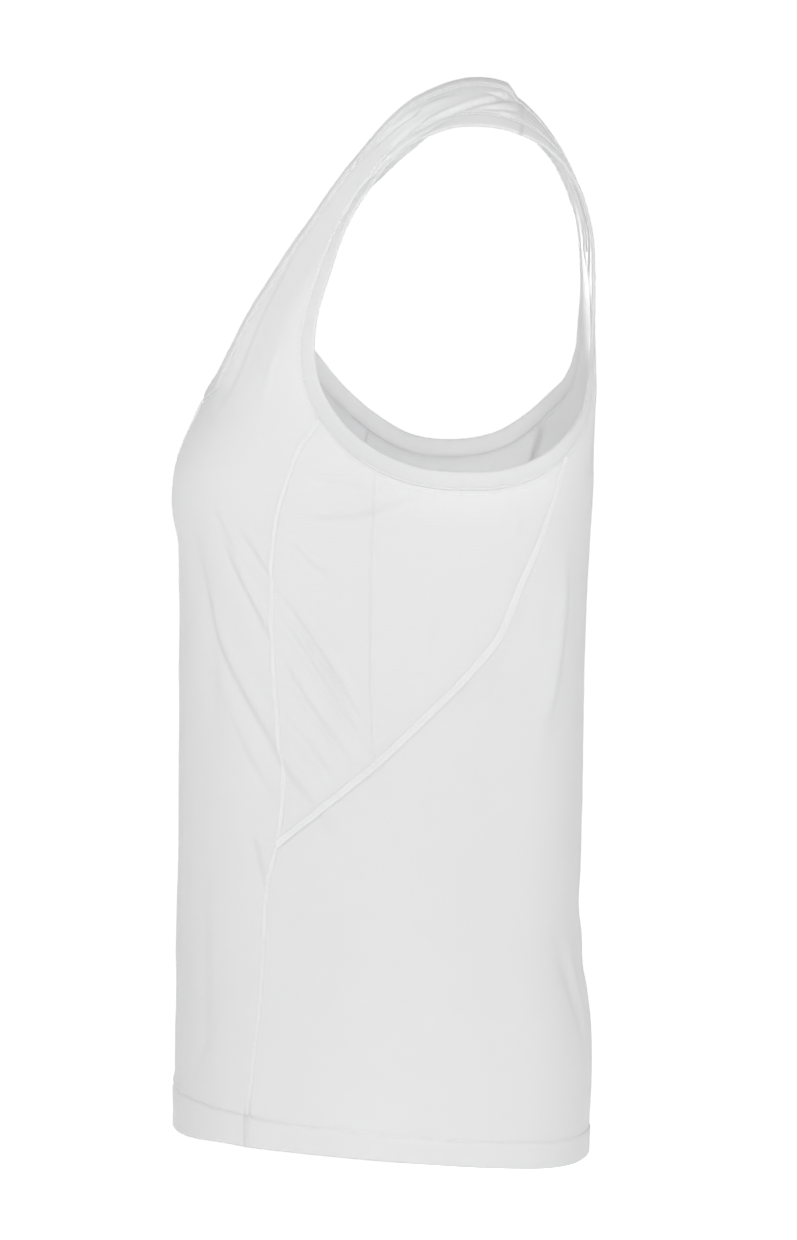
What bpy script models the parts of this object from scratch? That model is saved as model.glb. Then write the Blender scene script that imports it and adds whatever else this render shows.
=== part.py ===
# A running singlet, worn and empty: scooped neck, racer back, under-arm inserts, bound neck and armholes.
# Metres, +Z up. The front faces -Y and the wearer's left is +X. The origin is midway between the two straps,
# just under the cloth on top of the shoulders. Each cut piece is one closed wall of cloth.
import math

import bmesh
import bpy
import numpy as np

# Cloth
CLOTH_WALL = 0.0012
HEM_WALL = 0.0021
BINDING_WALL = 0.0022
BINDING_WIDTH = 0.0106
HEM_DEPTH = 0.018
HEM_STEP = 0.0015  # the hem's thickness ends over this height
SEAM_GAP = 0.0003
SEAM_ROW = 0.002  # the narrow strip of faces beside a seam, which sets the wall's direction there
TIP_WIDTH = 0.0016  # a piece that runs to a point is cut off square at this width

# The armpit line runs from side to side. Sections below it are level, and those above turn about it,
# from level at the front, over the shoulders, to level at the back.
ARMPIT_Y = -0.015
ARMPIT_Z = -0.240
ARMPIT_HALF_WIDTH = 0.157

SHOULDER_SEAM_TURN = 98.4

# The hem's lower edge, y and z
HEM_ROWS = np.array([
    (-0.1800, -0.5970), (-0.1741, -0.5955), (-0.1690, -0.5946), (-0.1615, -0.5936), (-0.1516, -0.5930),
    (-0.1395, -0.5936), (-0.1171, -0.5944), (-0.0896, -0.5961), (-0.0515, -0.5991), (-0.0147, -0.6021),
    (0.0098, -0.6044), (0.0292, -0.6065), (0.0441, -0.6077), (0.0640, -0.6087),
])

# Level sections: reach to the front and back, half width, place of the widest point, and fullness, the
# exponent of the rounded outline (2 is an ellipse, more is squarer).
LEVEL_COLUMNS = ("z", "front", "back", "half_width", "widest_y", "full_front", "full_back")
LEVEL_ROWS = np.array([
    (-0.625, 0.1772, 0.0602, 0.1745, -0.0520, 2.45, 2.60),
    (-0.600, 0.1770, 0.0614, 0.1730, -0.0515, 2.45, 2.60),
    (-0.565, 0.1762, 0.0635, 0.1700, -0.0510, 2.40, 2.65),
    (-0.530, 0.1756, 0.0625, 0.1655, -0.0500, 2.40, 2.70),
    (-0.505, 0.1754, 0.0590, 0.1620, -0.0490, 2.35, 2.75),
    (-0.480, 0.1756, 0.0571, 0.1590, -0.0475, 2.35, 2.80),
    (-0.435, 0.1748, 0.0569, 0.1555, -0.0430, 2.30, 2.85),
    (-0.390, 0.1743, 0.0579, 0.1545, -0.0360, 2.30, 2.90),
    (-0.335, 0.1742, 0.0586, 0.1550, -0.0250, 2.25, 2.95),
    (-0.285, 0.1742, 0.0600, 0.1565, -0.0165, 2.20, 3.00),
    (-0.240, 0.1773, 0.0622, 0.1570, -0.0150, 2.20, 3.00),
])

# Turning sections: degrees of turn, reach from the armpit line at the middle, and fullness.
TURN_COLUMNS = ("turn", "reach", "full")
TURN_ROWS = np.array([
    (0, 0.1623, 2.2),
    (10, 0.1634, 2.25),
    (20, 0.1603, 2.35),
    (30, 0.1590, 2.5),
    (45, 0.1676, 2.9),
    (55, 0.1762, 3.3),
    (65, 0.1897, 3.9),
    (75, 0.2118, 4.8),
    (85, 0.2389, 4.9),
    (92, 0.2500, 4.6),
    (98, 0.2447, 4.8),
    (104, 0.2254, 5.6),
    (108, 0.2096, 6.2),
    (114, 0.1850, 5.0),
    (120, 0.1569, 3.4),
    (125, 0.1380, 2.9),
    (130, 0.1240, 3.0),
    (140, 0.1046, 3.1),
    (150, 0.0911, 3.1),
    (165, 0.0814, 3.0),
    (180, 0.0772, 3.0),
])

# The neck's edge from its lowest point in front, over the shoulder, to its lowest point behind:
# degrees of turn and half width of the opening.
NECK_ROWS = [
    (28.0, 0.0000), (28.7, 0.0160), (31.5, 0.0320), (37.0, 0.0430), (46.0, 0.0505), (56.0, 0.0560),
    (66.0, 0.0615), (75.0, 0.0675), (84.0, 0.0760), (91.0, 0.0800), (98.0, 0.0790), (102.5, 0.0740),
    (106.5, 0.0635), (110.5, 0.0485), (114.0, 0.0290), (116.4, 0.0130), (117.2, 0.0000),
]

# The armhole's edge as seen from the side: over the strap and down the front, y and z.
ARMHOLE_TOP = [
    (0.0060, -0.0140), (-0.0082, -0.0126), (-0.0230, -0.0140), (-0.0385, -0.0205), (-0.0564, -0.0342),
    (-0.0711, -0.0525), (-0.0813, -0.0704), (-0.0904, -0.0966), (-0.0970, -0.1180), (-0.0994, -0.1380),
]
# Round under the arm. The left one hangs a little more open than the right.
ARMHOLE_UNDER = {
    "left": [
        (-0.0962, -0.1590), (-0.0835, -0.1800), (-0.0640, -0.1955), (-0.0400, -0.2048), (-0.0150, -0.2074),
        (0.0090, -0.2056), (0.0300, -0.1975), (0.0435, -0.1870), (0.0547, -0.1710),
    ],
    "right": [
        (-0.0860, -0.1600), (-0.0710, -0.1775), (-0.0560, -0.1905), (-0.0330, -0.2035), (-0.0090, -0.2063),
        (0.0150, -0.2020), (0.0320, -0.1915), (0.0455, -0.1785), (0.0556, -0.1650),
    ],
}
# Up the racer back to the shoulder: degrees of turn and half width.
ARMHOLE_BACK = [
    (131.0, 0.0960), (126.5, 0.0790), (121.9, 0.0710), (117.5, 0.0755), (113.6, 0.0870), (110.8, 0.0970),
    (107.5, 0.1080), (103.5, 0.1180), (99.0, 0.1240),
]

# Seams as seen from the side, y and z, each from its lower end up to the armhole.
SIDE_FRONT_SEAM = [
    (-0.1382, -0.5936), (-0.1373, -0.5710), (-0.1337, -0.5395), (-0.1290, -0.4890), (-0.1254, -0.4407),
    (-0.1211, -0.4215), (-0.1178, -0.3964), (-0.1193, -0.3609), (-0.1222, -0.3258), (-0.1234, -0.2907),
    (-0.1235, -0.2660), (-0.1212, -0.2378), (-0.1158, -0.2168), (-0.1080, -0.1956),
]
SIDE_FRONT_TOP = (-0.1005, -0.1808)
SLANT_SEAM = [
    (-0.1211, -0.4215), (-0.0940, -0.3979), (-0.0659, -0.3743), (-0.0405, -0.3501), (-0.0138, -0.3234),
    (0.0033, -0.3025), (0.0159, -0.2731), (0.0297, -0.2404),
]
SLANT_TOP = (0.0444, -0.2007)
SIDE_SEAM = [(-0.0659, -0.3743), (-0.0676, -0.3500), (-0.0681, -0.2900), (-0.0672, -0.2400)]
SIDE_SEAM_TOP = (-0.0662, -0.2087)
# Heights up the middle of the back that go with the ends of the slanting seam: -1 is the hem, 0 the armpit
# line, and above it radians of turn.
BACK_WAIST, BACK_BLADE = -0.60, 0.15

# The largest folds, as seen from the side: ends, depth (a hollow is negative) and half width.
FOLD_COLUMNS = ("y0", "z0", "y1", "z1", "depth", "width")
FOLD_ROWS = np.array([
    (-0.158, -0.286, -0.120, -0.385, -0.0030, 0.0085),
    (-0.146, -0.280, -0.108, -0.378, 0.0018, 0.0085),
    (-0.118, -0.282, -0.070, -0.362, -0.0028, 0.0085),
    (-0.106, -0.262, -0.052, -0.345, 0.0016, 0.0085),
    (-0.108, -0.214, -0.052, -0.222, -0.0022, 0.0080),
    (0.046, -0.255, 0.022, -0.365, -0.0026, 0.0095),
    (-0.030, -0.002, 0.010, 0.004, -0.0016, 0.0080),
])

# The straps' neck edges stand off the smooth form, the left one forward and up, the right one back and down.
STAND_COLUMNS = ("turn", "left", "right")  # degrees, and millimetres
STAND_ROWS = np.array([
    (22, 0.0, 0.0), (26, 0.5, -0.2), (28, 1.1, -0.4), (30, 1.8, -0.7), (32, 2.5, -1.2), (36, 3.2, -1.7),
    (42, 3.2, -2.6), (50, 3.3, -3.0), (55, 3.8, -2.8), (60, 4.8, -2.6), (70, 5.5, -3.0), (75, 5.8, -2.4),
    (80, 6.4, -2.6), (85, 7.4, -2.2), (90, 6.5, -1.8), (94, 6.6, -1.2), (95.8, 6.4, -0.8), (97.6, 1.0, -0.4),
    (100, 0.0, 0.0), (104, 0.0, 0.4), (108, 0.0, 1.6), (112, 0.0, 2.3), (115, 0.0, 2.0), (116.8, 0.0, 0.5),
    (117.5, 0.0, 0.0),
])
STAND_WIDTH = 0.042  # it fades out over this width from the neck towards the armhole
STAND_BLEND = 0.016  # half the width at the middle over which the left passes into the right

# Counts of faces along and across the pieces. Rows slope down from the neck to the sides, so that they leave
# its seam at an angle: the neck takes ROWS_SLOPED more of them than the armhole does.
ROWS_BELOW, ROWS_WAIST, ROWS_CHEST, ROWS_RACER = 7, 12, 14, 16
ROWS_SLOPED = 5
ROWS_NECK_FRONT, ROWS_NECK_BACK = ROWS_CHEST + ROWS_SLOPED, ROWS_RACER - ROWS_SLOPED
COLUMNS_PANEL, COLUMNS_INSERT_FRONT, COLUMNS_INSERT_BACK = 11, 6, 9

def column(rows, columns, name):
    return rows[:, columns.index(name)]


def smooth(at, xs, ys, first=None, last=None):
    """A smooth curve through the rows (xs, ys), read at each value; first and last are slopes at its ends."""
    at = np.clip(at, xs[0], xs[-1])
    step = np.diff(xs)
    rise = np.diff(ys) / step
    slope = np.empty(len(xs))
    slope[1:-1] = (rise[:-1] * step[1:] + rise[1:] * step[:-1]) / (step[:-1] + step[1:])
    slope[0] = rise[0] if first is None else first
    slope[-1] = rise[-1] if last is None else last
    i = np.clip(np.searchsorted(xs, at, side="right") - 1, 0, len(step) - 1)
    t = (at - xs[i]) / step[i]
    keep, move = 2 * t**3 - 3 * t**2 + 1, -2 * t**3 + 3 * t**2
    bend = (t**3 - 2 * t**2 + t) * slope[i] + (t**3 - t**2) * slope[i + 1]
    return keep * ys[i] + move * ys[i + 1] + bend * step[i]


def level_value(name, z, last=None):
    return smooth(z, column(LEVEL_ROWS, LEVEL_COLUMNS, "z"), column(LEVEL_ROWS, LEVEL_COLUMNS, name), last=last)


# How fast the front and back lean out with height at the armpit line
FRONT_LEAN = 0.06
BACK_LEAN = 0.05


def turn_value(name, turn):
    ends = (None, None)
    if name == "reach":
        reach = column(TURN_ROWS, TURN_COLUMNS, "reach")
        ends = (FRONT_LEAN * reach[0], -BACK_LEAN * reach[-1])
    return smooth(turn, np.radians(column(TURN_ROWS, TURN_COLUMNS, "turn")),
                  column(TURN_ROWS, TURN_COLUMNS, name), *ends)


def level_section(z, at_back):
    """Reach, fullness, half width and widest place of the level section at each height."""
    widest = level_value("widest_y", z, last=0)
    reach = np.where(at_back, level_value("back", z, last=BACK_LEAN) - widest,
                     level_value("front", z, last=FRONT_LEAN) + widest)
    full = np.where(at_back, level_value("full_back", z), level_value("full_front", z))
    return reach, full, level_value("half_width", z, last=0), widest


def section_through(y, z):
    """Reach, fullness, half width and the distance from the section's middle line, for side-view points."""
    turn = np.clip(np.arctan2(z - ARMPIT_Z, ARMPIT_Y - y), 0, math.pi)
    reach, full, half, widest = level_section(z, y > level_value("widest_y", z, last=0))
    above = z >= ARMPIT_Z
    return (np.where(above, turn_value("reach", turn), reach),
            np.where(above, turn_value("full", turn), full),
            np.where(above, ARMPIT_HALF_WIDTH, half),
            np.where(above, np.hypot(z - ARMPIT_Z, y - ARMPIT_Y), np.abs(y - widest)),
            turn)


def from_side(rows):
    """Points on the left half of the body, from their places in a side view."""
    y, z = np.asarray(rows, float).T
    reach, full, half, away, _ = section_through(y, z)
    x = half * np.clip(1 - (away / reach) ** full, 0, 1) ** (1 / full)
    return np.stack([x, y, z], axis=-1)


def from_turn(rows):
    """Points on the left half, from degrees of turn and half width."""
    turn, x = np.asarray(rows, float).T
    turn = np.radians(turn)
    reach, full = turn_value("reach", turn), turn_value("full", turn)
    away = reach * (1 - (x / ARMPIT_HALF_WIDTH) ** full) ** (1 / full)
    return np.stack([x, ARMPIT_Y - away * np.cos(turn), ARMPIT_Z + away * np.sin(turn)], axis=-1)


def beyond(points):
    """Below zero inside the body form, zero on it, and above zero outside it."""
    reach, full, half, away, _ = section_through(points[..., 1], points[..., 2])
    return (np.abs(points[..., 0]) / half) ** full + (away / reach) ** full - 1


def uphill(points):
    """The gradient of beyond, which points out of the body."""
    nudge = 1e-5
    parts = []
    for axis in range(3):
        move = np.zeros(3)
        move[axis] = nudge
        parts.append((beyond(points + move) - beyond(points - move)) / (2 * nudge))
    return np.stack(parts, axis=-1)


def outward(points):
    slope = uphill(points)
    return slope / np.linalg.norm(slope, axis=-1, keepdims=True)


def settle(points):
    """Moves points near the body form onto it."""
    for _ in range(6):
        slope = uphill(points)
        points = points - slope * (beyond(points) / (slope**2).sum(-1))[..., None]
    return points


def hem_z(y):
    return smooth(y, HEM_ROWS[:, 0], HEM_ROWS[:, 1])


def level_point(round_, z, at_back):
    """A point of a level section: round_ is 0 at the sheet's middle, 1 at the side and over 1 past it."""
    past = round_ > 1
    theta = np.where(past, 2 - round_, round_) * math.pi / 2
    behind = past != at_back
    reach, full, half, widest = level_section(z, behind)
    x = half * np.sin(theta) ** (2 / full)
    away = reach * np.cos(theta) ** (2 / full)
    return x, np.where(behind, widest + away, widest - away)


def hem_drop(round_, at_back):
    """The depth of the hem below the armpit line."""
    _, y = level_point(round_, np.full_like(round_, LEVEL_ROWS[1, 0]), at_back)
    return ARMPIT_Z - hem_z(y)


def on_sheet(round_, height, at_back):
    """A point of the front or back sheet. height is -1 at the hem and 0 at the armpit line, then turn."""
    turn = np.clip(height, 0, None)
    turn = np.where(at_back, math.pi - turn, turn)
    reach, full = turn_value("reach", turn), turn_value("full", turn)
    theta = np.clip(round_, 0, 1) * math.pi / 2
    away = reach * np.cos(theta) ** (2 / full)
    high = (ARMPIT_HALF_WIDTH * np.sin(theta) ** (2 / full),
            ARMPIT_Y - away * np.cos(turn), ARMPIT_Z + away * np.sin(turn))
    z = ARMPIT_Z + np.clip(height, None, 0) * hem_drop(round_, at_back)
    x, y = level_point(round_, z, at_back)
    above = height >= 0
    return np.stack([np.where(above, high[0], x), np.where(above, high[1], y),
                     np.where(above, high[2], z)], axis=-1)


def place_on_sheet(points, at_back):
    """The round_ and height of points on the form: the inverse of on_sheet."""
    x, y, z = np.abs(points[..., 0]), points[..., 1], points[..., 2]
    reach, full, half, away, turn = section_through(y, z)
    theta = np.arctan2((x / half) ** (full / 2), (away / reach) ** (full / 2))
    round_ = theta / (math.pi / 2)
    widest = level_value("widest_y", z, last=0)
    other = (z < ARMPIT_Z) & ((y < widest) if at_back else (y > widest))
    round_ = np.where(other, 2 - round_, round_)
    below = (z - ARMPIT_Z) / hem_drop(round_, at_back)
    turned = math.pi - turn if at_back else turn
    return round_, np.where(z < ARMPIT_Z, below, turned)


def along(points):
    steps = np.linalg.norm(np.diff(points, axis=0), axis=1)
    return np.concatenate([[0], np.cumsum(steps)])


def even(count):
    return np.linspace(0, 1, count + 1)


def sampled(line, shares):
    """Points at shares of a line's length. Columns after the third go with them."""
    far = along(line[:, :3])
    return np.stack([np.interp(shares * far[-1], far, line[:, k]) for k in range(line.shape[1])], axis=1)


LINE_POINTS = 600


def joined(*parts):
    """Lines one after another, each starting where the last one ended."""
    return np.concatenate([parts[0]] + [part[1:] for part in parts[1:]])


def curve_through(points, closed=False, mirrored=False):
    """A smooth dense line through points on the form."""
    if closed:
        points = np.concatenate([points[-3:], points, points[:4]])
    if mirrored:
        flip = np.array([-1, 1, 1])
        points = np.concatenate([(points[1:3] * flip)[::-1], points, (points[-3:-1] * flip)[::-1]])
    far = along(points)
    lead, tail = (3, 4) if closed else (2, 2) if mirrored else (0, 0)
    start, end = far[lead], far[len(far) - 1 - tail + (1 if closed else 0)]
    at = np.linspace(start, end, LINE_POINTS)
    line = np.stack([smooth(at, far, points[:, k]) for k in range(3)], axis=1)
    return settle(line)


def turned_out(line, amount, closed=False):
    """The line moved sideways along the form, to the right of its run as seen from outside."""
    if closed:
        run = np.roll(line, -1, axis=0) - np.roll(line, 1, axis=0)
    else:
        run = np.gradient(line, axis=0)
    side = np.cross(run, outward(line))
    side /= np.linalg.norm(side, axis=1, keepdims=True)
    return settle(line + amount * side)


def up_to(rows, end):
    """A seam through side-view points that ends on the armhole's seam."""
    return curve_through(np.concatenate([from_side(rows), end[None, :3]]))


def nearest(line, target):
    """The index of the line's point that is nearest to a side-view place."""
    return int(np.argmin(np.hypot(line[:, 1] - target[0], line[:, 2] - target[1])))


def neck_line():
    return curve_through(from_turn(NECK_ROWS), mirrored=True)


def armhole_line(side):
    """The armhole's edge, from the top of the strap down the front, under the arm and up the back."""
    points = np.concatenate([from_side(ARMHOLE_TOP), from_side(ARMHOLE_UNDER[side]), from_turn(ARMHOLE_BACK)])
    line = curve_through(points, closed=True)
    return line[:-1]


class Seams:
    """The seam lines of one side, all drawn on its left-hand form, with the points that both sides share."""

    def __init__(self, side):
        edge = armhole_line(side)
        seam = turned_out(edge, BINDING_WIDTH, closed=True)
        turn = section_through(seam[:, 1], seam[:, 2])[4]
        off = np.abs(turn - math.radians(SHOULDER_SEAM_TURN)) + (seam[:, 2] < ARMPIT_Z / 2) * math.pi
        ring = np.roll(np.hstack([seam, edge]), -int(np.argmin(off)), axis=0)
        ring = np.concatenate([ring, ring[:1]])
        front, side_, slant = (nearest(ring, top) for top in (SIDE_FRONT_TOP, SIDE_SEAM_TOP, SLANT_TOP))
        self.armhole_front = sampled_seam(ring[:front + 1], ROWS_CHEST, at_end=False)
        self.armhole_insert_front = sampled_seam(ring[front:side_ + 1], COLUMNS_INSERT_FRONT)
        self.armhole_insert_back = sampled_seam(ring[side_:slant + 1], COLUMNS_INSERT_BACK)
        self.armhole_back = sampled_seam(ring[slant:], ROWS_RACER, at_start=False)

        neck_edge = neck_line()
        neck = np.hstack([turned_out(neck_edge, BINDING_WIDTH), neck_edge])
        neck[[0, -1], 0] = 0
        turn = section_through(neck[:, 1], neck[:, 2])[4]
        split = int(np.argmin(np.abs(turn - math.radians(SHOULDER_SEAM_TURN))))
        self.neck_front = sampled_seam(neck[:split + 1], ROWS_NECK_FRONT, at_start=False)
        self.neck_back = sampled_seam(neck[split:], ROWS_NECK_BACK, at_end=False)

        side_front = up_to(SIDE_FRONT_SEAM, ring[front])
        side_front[0, 2] = hem_z(side_front[0, 1])
        junction = int(np.argmin(np.abs(side_front[:, 2] - SLANT_SEAM[0][1])))
        self.side_front_low = hem_rows(side_front[:junction + 1])
        self.side_front_high = sampled_seam(side_front[junction:], ROWS_WAIST)
        slant_line = up_to(SLANT_SEAM, ring[slant])
        slant_line[0] = side_front[junction]
        tip = nearest(slant_line, SIDE_SEAM[0])
        side_line = up_to(SIDE_SEAM, ring[side_])
        side_line[0] = slant_line[tip]
        self.slant_low = sampled_seam(slant_line[:tip + 1], COLUMNS_INSERT_FRONT)
        self.cut_tip(side_line, slant_line[tip:])

    def cut_tip(self, side_line, slant_line):
        """Samples the two seams that leave the tip of the back insert, which is cut off square."""
        shares = even(400)
        apart = np.linalg.norm(sampled(side_line, shares) - sampled(slant_line, shares), axis=1)
        start = shares[int(np.argmax(apart > TIP_WIDTH))]
        length = along(slant_line)[-1]
        shares = start + (1 - start) * seam_steps(ROWS_WAIST, length)
        self.side_seam = sampled(side_line, shares)
        self.slant_high = sampled(slant_line, shares)
        self.tip = side_line[:1]

    def armhole_ring(self):
        return joined(self.armhole_front, self.armhole_insert_front, self.armhole_insert_back,
                      self.armhole_back)


def tangents(line, closed=False):
    """The direction of a polyline at each point, midway between the steps that meet there."""
    steps = np.diff(line, axis=0)
    steps /= np.linalg.norm(steps, axis=1, keepdims=True)
    before, after = np.concatenate([steps[:1], steps]), np.concatenate([steps, steps[-1:]])
    if closed:
        before[0], after[-1] = steps[-1], steps[0]
    run = before + after
    return run / np.linalg.norm(run, axis=1, keepdims=True)


def inset(grid, sides, amount=SEAM_GAP / 2, closed=False):
    """Draws in the named sides of a grid of points, so that neighbours stay apart at a seam."""
    pulls = {}
    for side, edge, inner in (("first_row", grid[0], grid[1]), ("last_row", grid[-1], grid[-2]),
                              ("first_column", grid[:, 0], grid[:, 1]),
                              ("last_column", grid[:, -1], grid[:, -2])):
        run = tangents(edge, closed)
        pull = inner - edge
        pull = pull - run * (pull * run).sum(1, keepdims=True)
        pulls[side] = pull / np.linalg.norm(pull, axis=1, keepdims=True)
    out = grid.copy()
    for side in sides:
        where = {"first_row": np.s_[0, :], "last_row": np.s_[-1, :],
                 "first_column": np.s_[:, 0], "last_column": np.s_[:, -1]}[side]
        out[where] += amount * pulls[side]
    for row, column_, i, j in (("first_row", "first_column", 0, 0), ("first_row", "last_column", 0, -1),
                               ("last_row", "first_column", -1, 0), ("last_row", "last_column", -1, -1)):
        if row in sides and column_ in sides:
            a, b = pulls[row][j], pulls[column_][i]
            out[i, j] = grid[i, j] + amount * (a + b) / max(1 + a @ b, 0.2)
    return out


def seam_steps(count, length, at_start=True, at_end=True):
    """count + 1 shares of a width, the first and last step narrow beside a seam."""
    narrow = min(SEAM_ROW / length, 0.5 / count)
    start = narrow if at_start else 0.0
    end = 1 - narrow if at_end else 1.0
    inner = np.linspace(start, end, count + 1 - int(at_start) - int(at_end))
    return np.concatenate([[0.0]] * at_start + [inner] + [[1.0]] * at_end)


def sampled_seam(line, count, at_start=True, at_end=True):
    """Points along a line, its first and last step narrow where it ends at a seam."""
    return sampled(line, seam_steps(count, along(line[:, :3])[-1], at_start, at_end))


def fold_relief(points):
    """How far the largest folds lift or sink the cloth at each point."""
    y, z = points[..., 1], points[..., 2]
    total = np.zeros_like(y)
    for y0, z0, y1, z1, depth, width in FOLD_ROWS:
        length = math.hypot(y1 - y0, z1 - z0)
        run = ((y - y0) * (y1 - y0) + (z - z0) * (z1 - z0)) / length
        off = ((y - y0) * (z1 - z0) - (z - z0) * (y1 - y0)) / length
        past = np.clip(np.maximum(-run, run - length), 0, None)
        total += depth * np.exp(-((off / width) ** 2) - (past / (1.5 * width)) ** 2)
    return total


def eased(share):
    """A share held between 0 and 1 that starts and ends gently."""
    share = np.clip(share, 0, 1)
    return share**2 * (3 - 2 * share)


def stand_off(points):
    """How far the straps stand off the form at each point, left and right ones unlike."""
    x, y, z = points[..., 0], points[..., 1], points[..., 2]
    turn = np.degrees(np.clip(np.arctan2(z - ARMPIT_Z, ARMPIT_Y - y), 0, math.pi))
    neck_turns, neck_widths = np.array(NECK_ROWS).T
    past = (np.abs(x) - np.interp(turn, neck_turns, neck_widths)) / STAND_WIDTH
    turns = column(STAND_ROWS, STAND_COLUMNS, "turn")
    left = np.interp(turn, turns, column(STAND_ROWS, STAND_COLUMNS, "left"))
    right = np.interp(turn, turns, column(STAND_ROWS, STAND_COLUMNS, "right"))
    amount = right + (left - right) * eased(0.5 + 0.5 * x / STAND_BLEND)
    return np.where(z > ARMPIT_Z, 0.001 * amount * (1 - eased(past)), 0)


def creased(points):
    """Points of the smooth form with the folds in them and the straps drawn off it."""
    form = points.copy()
    form[..., 0] = np.abs(form[..., 0])
    lift = (fold_relief(form) + stand_off(points))[..., None] * outward(form)
    lift[..., 0] *= np.where(form[..., 0] > 1e-6, np.sign(points[..., 0]), 0)
    return points + lift


def sheet_rows(inner, outer, at_back):
    """Points from an inner line to an outer line, following the front or back sheet."""
    in_round, in_height = place_on_sheet(inner, at_back)
    on_neck = np.abs(inner[:, 0]) > 1e-6
    in_round = np.where(on_neck, in_round, 0.0)
    out_round, out_height = place_on_sheet(outer, at_back)
    width = np.linalg.norm(outer - inner, axis=1).mean()
    share = np.where(on_neck[:, None], seam_steps(COLUMNS_PANEL, width),
                     seam_steps(COLUMNS_PANEL, width, at_start=False))
    round_ = in_round[:, None] * (1 - share) + out_round[:, None] * share
    height = in_height[:, None] * (1 - share) + out_height[:, None] * share
    return on_sheet(round_, height, at_back)


def centre_line(low, high, shares, at_back):
    """Points up the middle of a sheet between two heights."""
    return on_sheet(np.zeros(len(shares)), low + (high - low) * shares, at_back)


def hem_rows(line):
    """Points up a line from the hem, with narrow rows beside the turned-up hem's top."""
    length = along(line)[-1]
    fold = HEM_DEPTH / length
    step = (HEM_DEPTH + HEM_STEP) / length
    shares = np.concatenate([[0, fold], step + (1 - step) * even(ROWS_BELOW)])
    return sampled(line, shares)


def height_of(place, at_back):
    """The sheet's height at a place in the side view."""
    return place_on_sheet(from_side([place]), at_back)[1][0]


def front_grid(seams):
    """Points of the left half of the front panel, from the hem to the shoulder seam."""
    neck = seams.neck_front[:, :3]
    junction = height_of(SLANT_SEAM[0], False)
    neck_low = place_on_sheet(neck[:1], False)[1][0]
    inner = joined(hem_rows(centre_line(-1, junction, even(60), False)),
                   centre_line(junction, neck_low, even(ROWS_WAIST - ROWS_SLOPED), False), neck)
    outer = joined(seams.side_front_low, seams.side_front_high, seams.armhole_front[::-1, :3])
    grid = sheet_rows(inner, outer, False)
    return trimmed_sheet(grid, len(grid) - 1 - ROWS_NECK_FRONT)


def back_grid(seams):
    """Points of the left half of the back panel, from the hem to the shoulder seam."""
    neck = seams.neck_back[::-1, :3]
    neck_low = place_on_sheet(neck[:1], True)[1][0]
    slant_rows = COLUMNS_INSERT_FRONT + ROWS_WAIST
    inner = joined(hem_rows(centre_line(-1, BACK_WAIST, even(60), True)),
                   centre_line(BACK_WAIST, BACK_BLADE, even(slant_rows), True),
                   centre_line(BACK_BLADE, neck_low, even(ROWS_SLOPED), True), neck)
    slant = np.concatenate([seams.slant_low, seams.slant_high[1:]])
    outer = joined(seams.side_front_low, slant, seams.armhole_back[:, :3])
    grid = sheet_rows(inner, outer, True)
    return trimmed_sheet(grid, len(grid) - 1 - ROWS_NECK_BACK)


def trimmed_sheet(grid, neck_row):
    """Draws a half panel in at its seams. neck_row is the row at the bottom of the neck."""
    drawn = inset(grid, ("last_row", "last_column"))
    drawn[neck_row:] = inset(grid[neck_row:], ("first_column", "last_row", "last_column"))
    drawn[:neck_row + 1, 0, 0] = 0
    drawn[neck_row, 0] = grid[neck_row, 0] + drawn_down(grid, neck_row)
    return drawn


def drawn_down(grid, row):
    """The seam allowance at the lowest point of the neck, which runs down the middle line."""
    down = grid[row - 1, 0] - grid[row, 0]
    return SEAM_GAP / 2 * down / np.linalg.norm(down)


def blend_patch(top, bottom, left, right):
    """Points between four sampled lines seen from the side, rows running from top to bottom."""
    v = (along(left) / along(left)[-1])[:, None, None]
    u = (along(top) / along(top)[-1])[None, :, None]
    top, bottom, left, right = (line[:, 1:3] for line in (top, bottom, left, right))
    flat = (top[None] * (1 - v) + bottom[None] * v + left[:, None] * (1 - u) + right[:, None] * u
            - top[0] * (1 - v) * (1 - u) - top[-1] * (1 - v) * u
            - bottom[0] * v * (1 - u) - bottom[-1] * v * u)
    grid = from_side(flat.reshape(-1, 2)).reshape(flat.shape[:2] + (3,))
    return inset(grid, ("first_row", "last_row", "first_column", "last_column"))


def insert_front_grid(seams):
    side = np.concatenate([seams.tip, seams.side_seam[1:]])
    return blend_patch(seams.armhole_insert_front[:, :3], seams.slant_low,
                       seams.side_front_high[::-1], side[::-1])


def insert_back_grid(seams):
    """The triangle between the side seam and the slanting seam, its lower tip cut square."""
    left, right = seams.side_seam[::-1], seams.slant_high[::-1]
    bottom = left[-1] + (right[-1] - left[-1]) * even(COLUMNS_INSERT_BACK)[:, None]
    return blend_patch(seams.armhole_insert_back[:, :3], bottom, left, right)


def strip_grid(rows):
    """Rows round a binding, each from its finished edge to its seam."""
    share = np.array([0.0, 0.45, 1 - SEAM_ROW / 2 / BINDING_WIDTH, 1.0])[None, :, None]
    return settle(rows[:, None, 3:] * (1 - share) + rows[:, None, :3] * share)


def armhole_binding_grid(seams):
    return inset(strip_grid(seams.armhole_ring()), ("last_column",), closed=True)


def neck_binding_grid(seams):
    """The whole round of the neck: the left half, then the right half back to the start."""
    half = strip_grid(joined(seams.neck_front, seams.neck_back))
    half = inset(half, ("last_column",))
    half[[0, -1], :, 0] = 0
    other = (half * np.array([-1, 1, 1]))[::-1]
    return np.concatenate([half, other[1:]])


def material(name, colour, roughness):
    made = bpy.data.materials.new(name)
    made.use_nodes = True
    shader = made.node_tree.nodes["Principled BSDF"]
    shader.inputs["Base Color"].default_value = (*colour, 1)
    shader.inputs["Roughness"].default_value = roughness
    shader.inputs["Metallic"].default_value = 0
    return made


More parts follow.
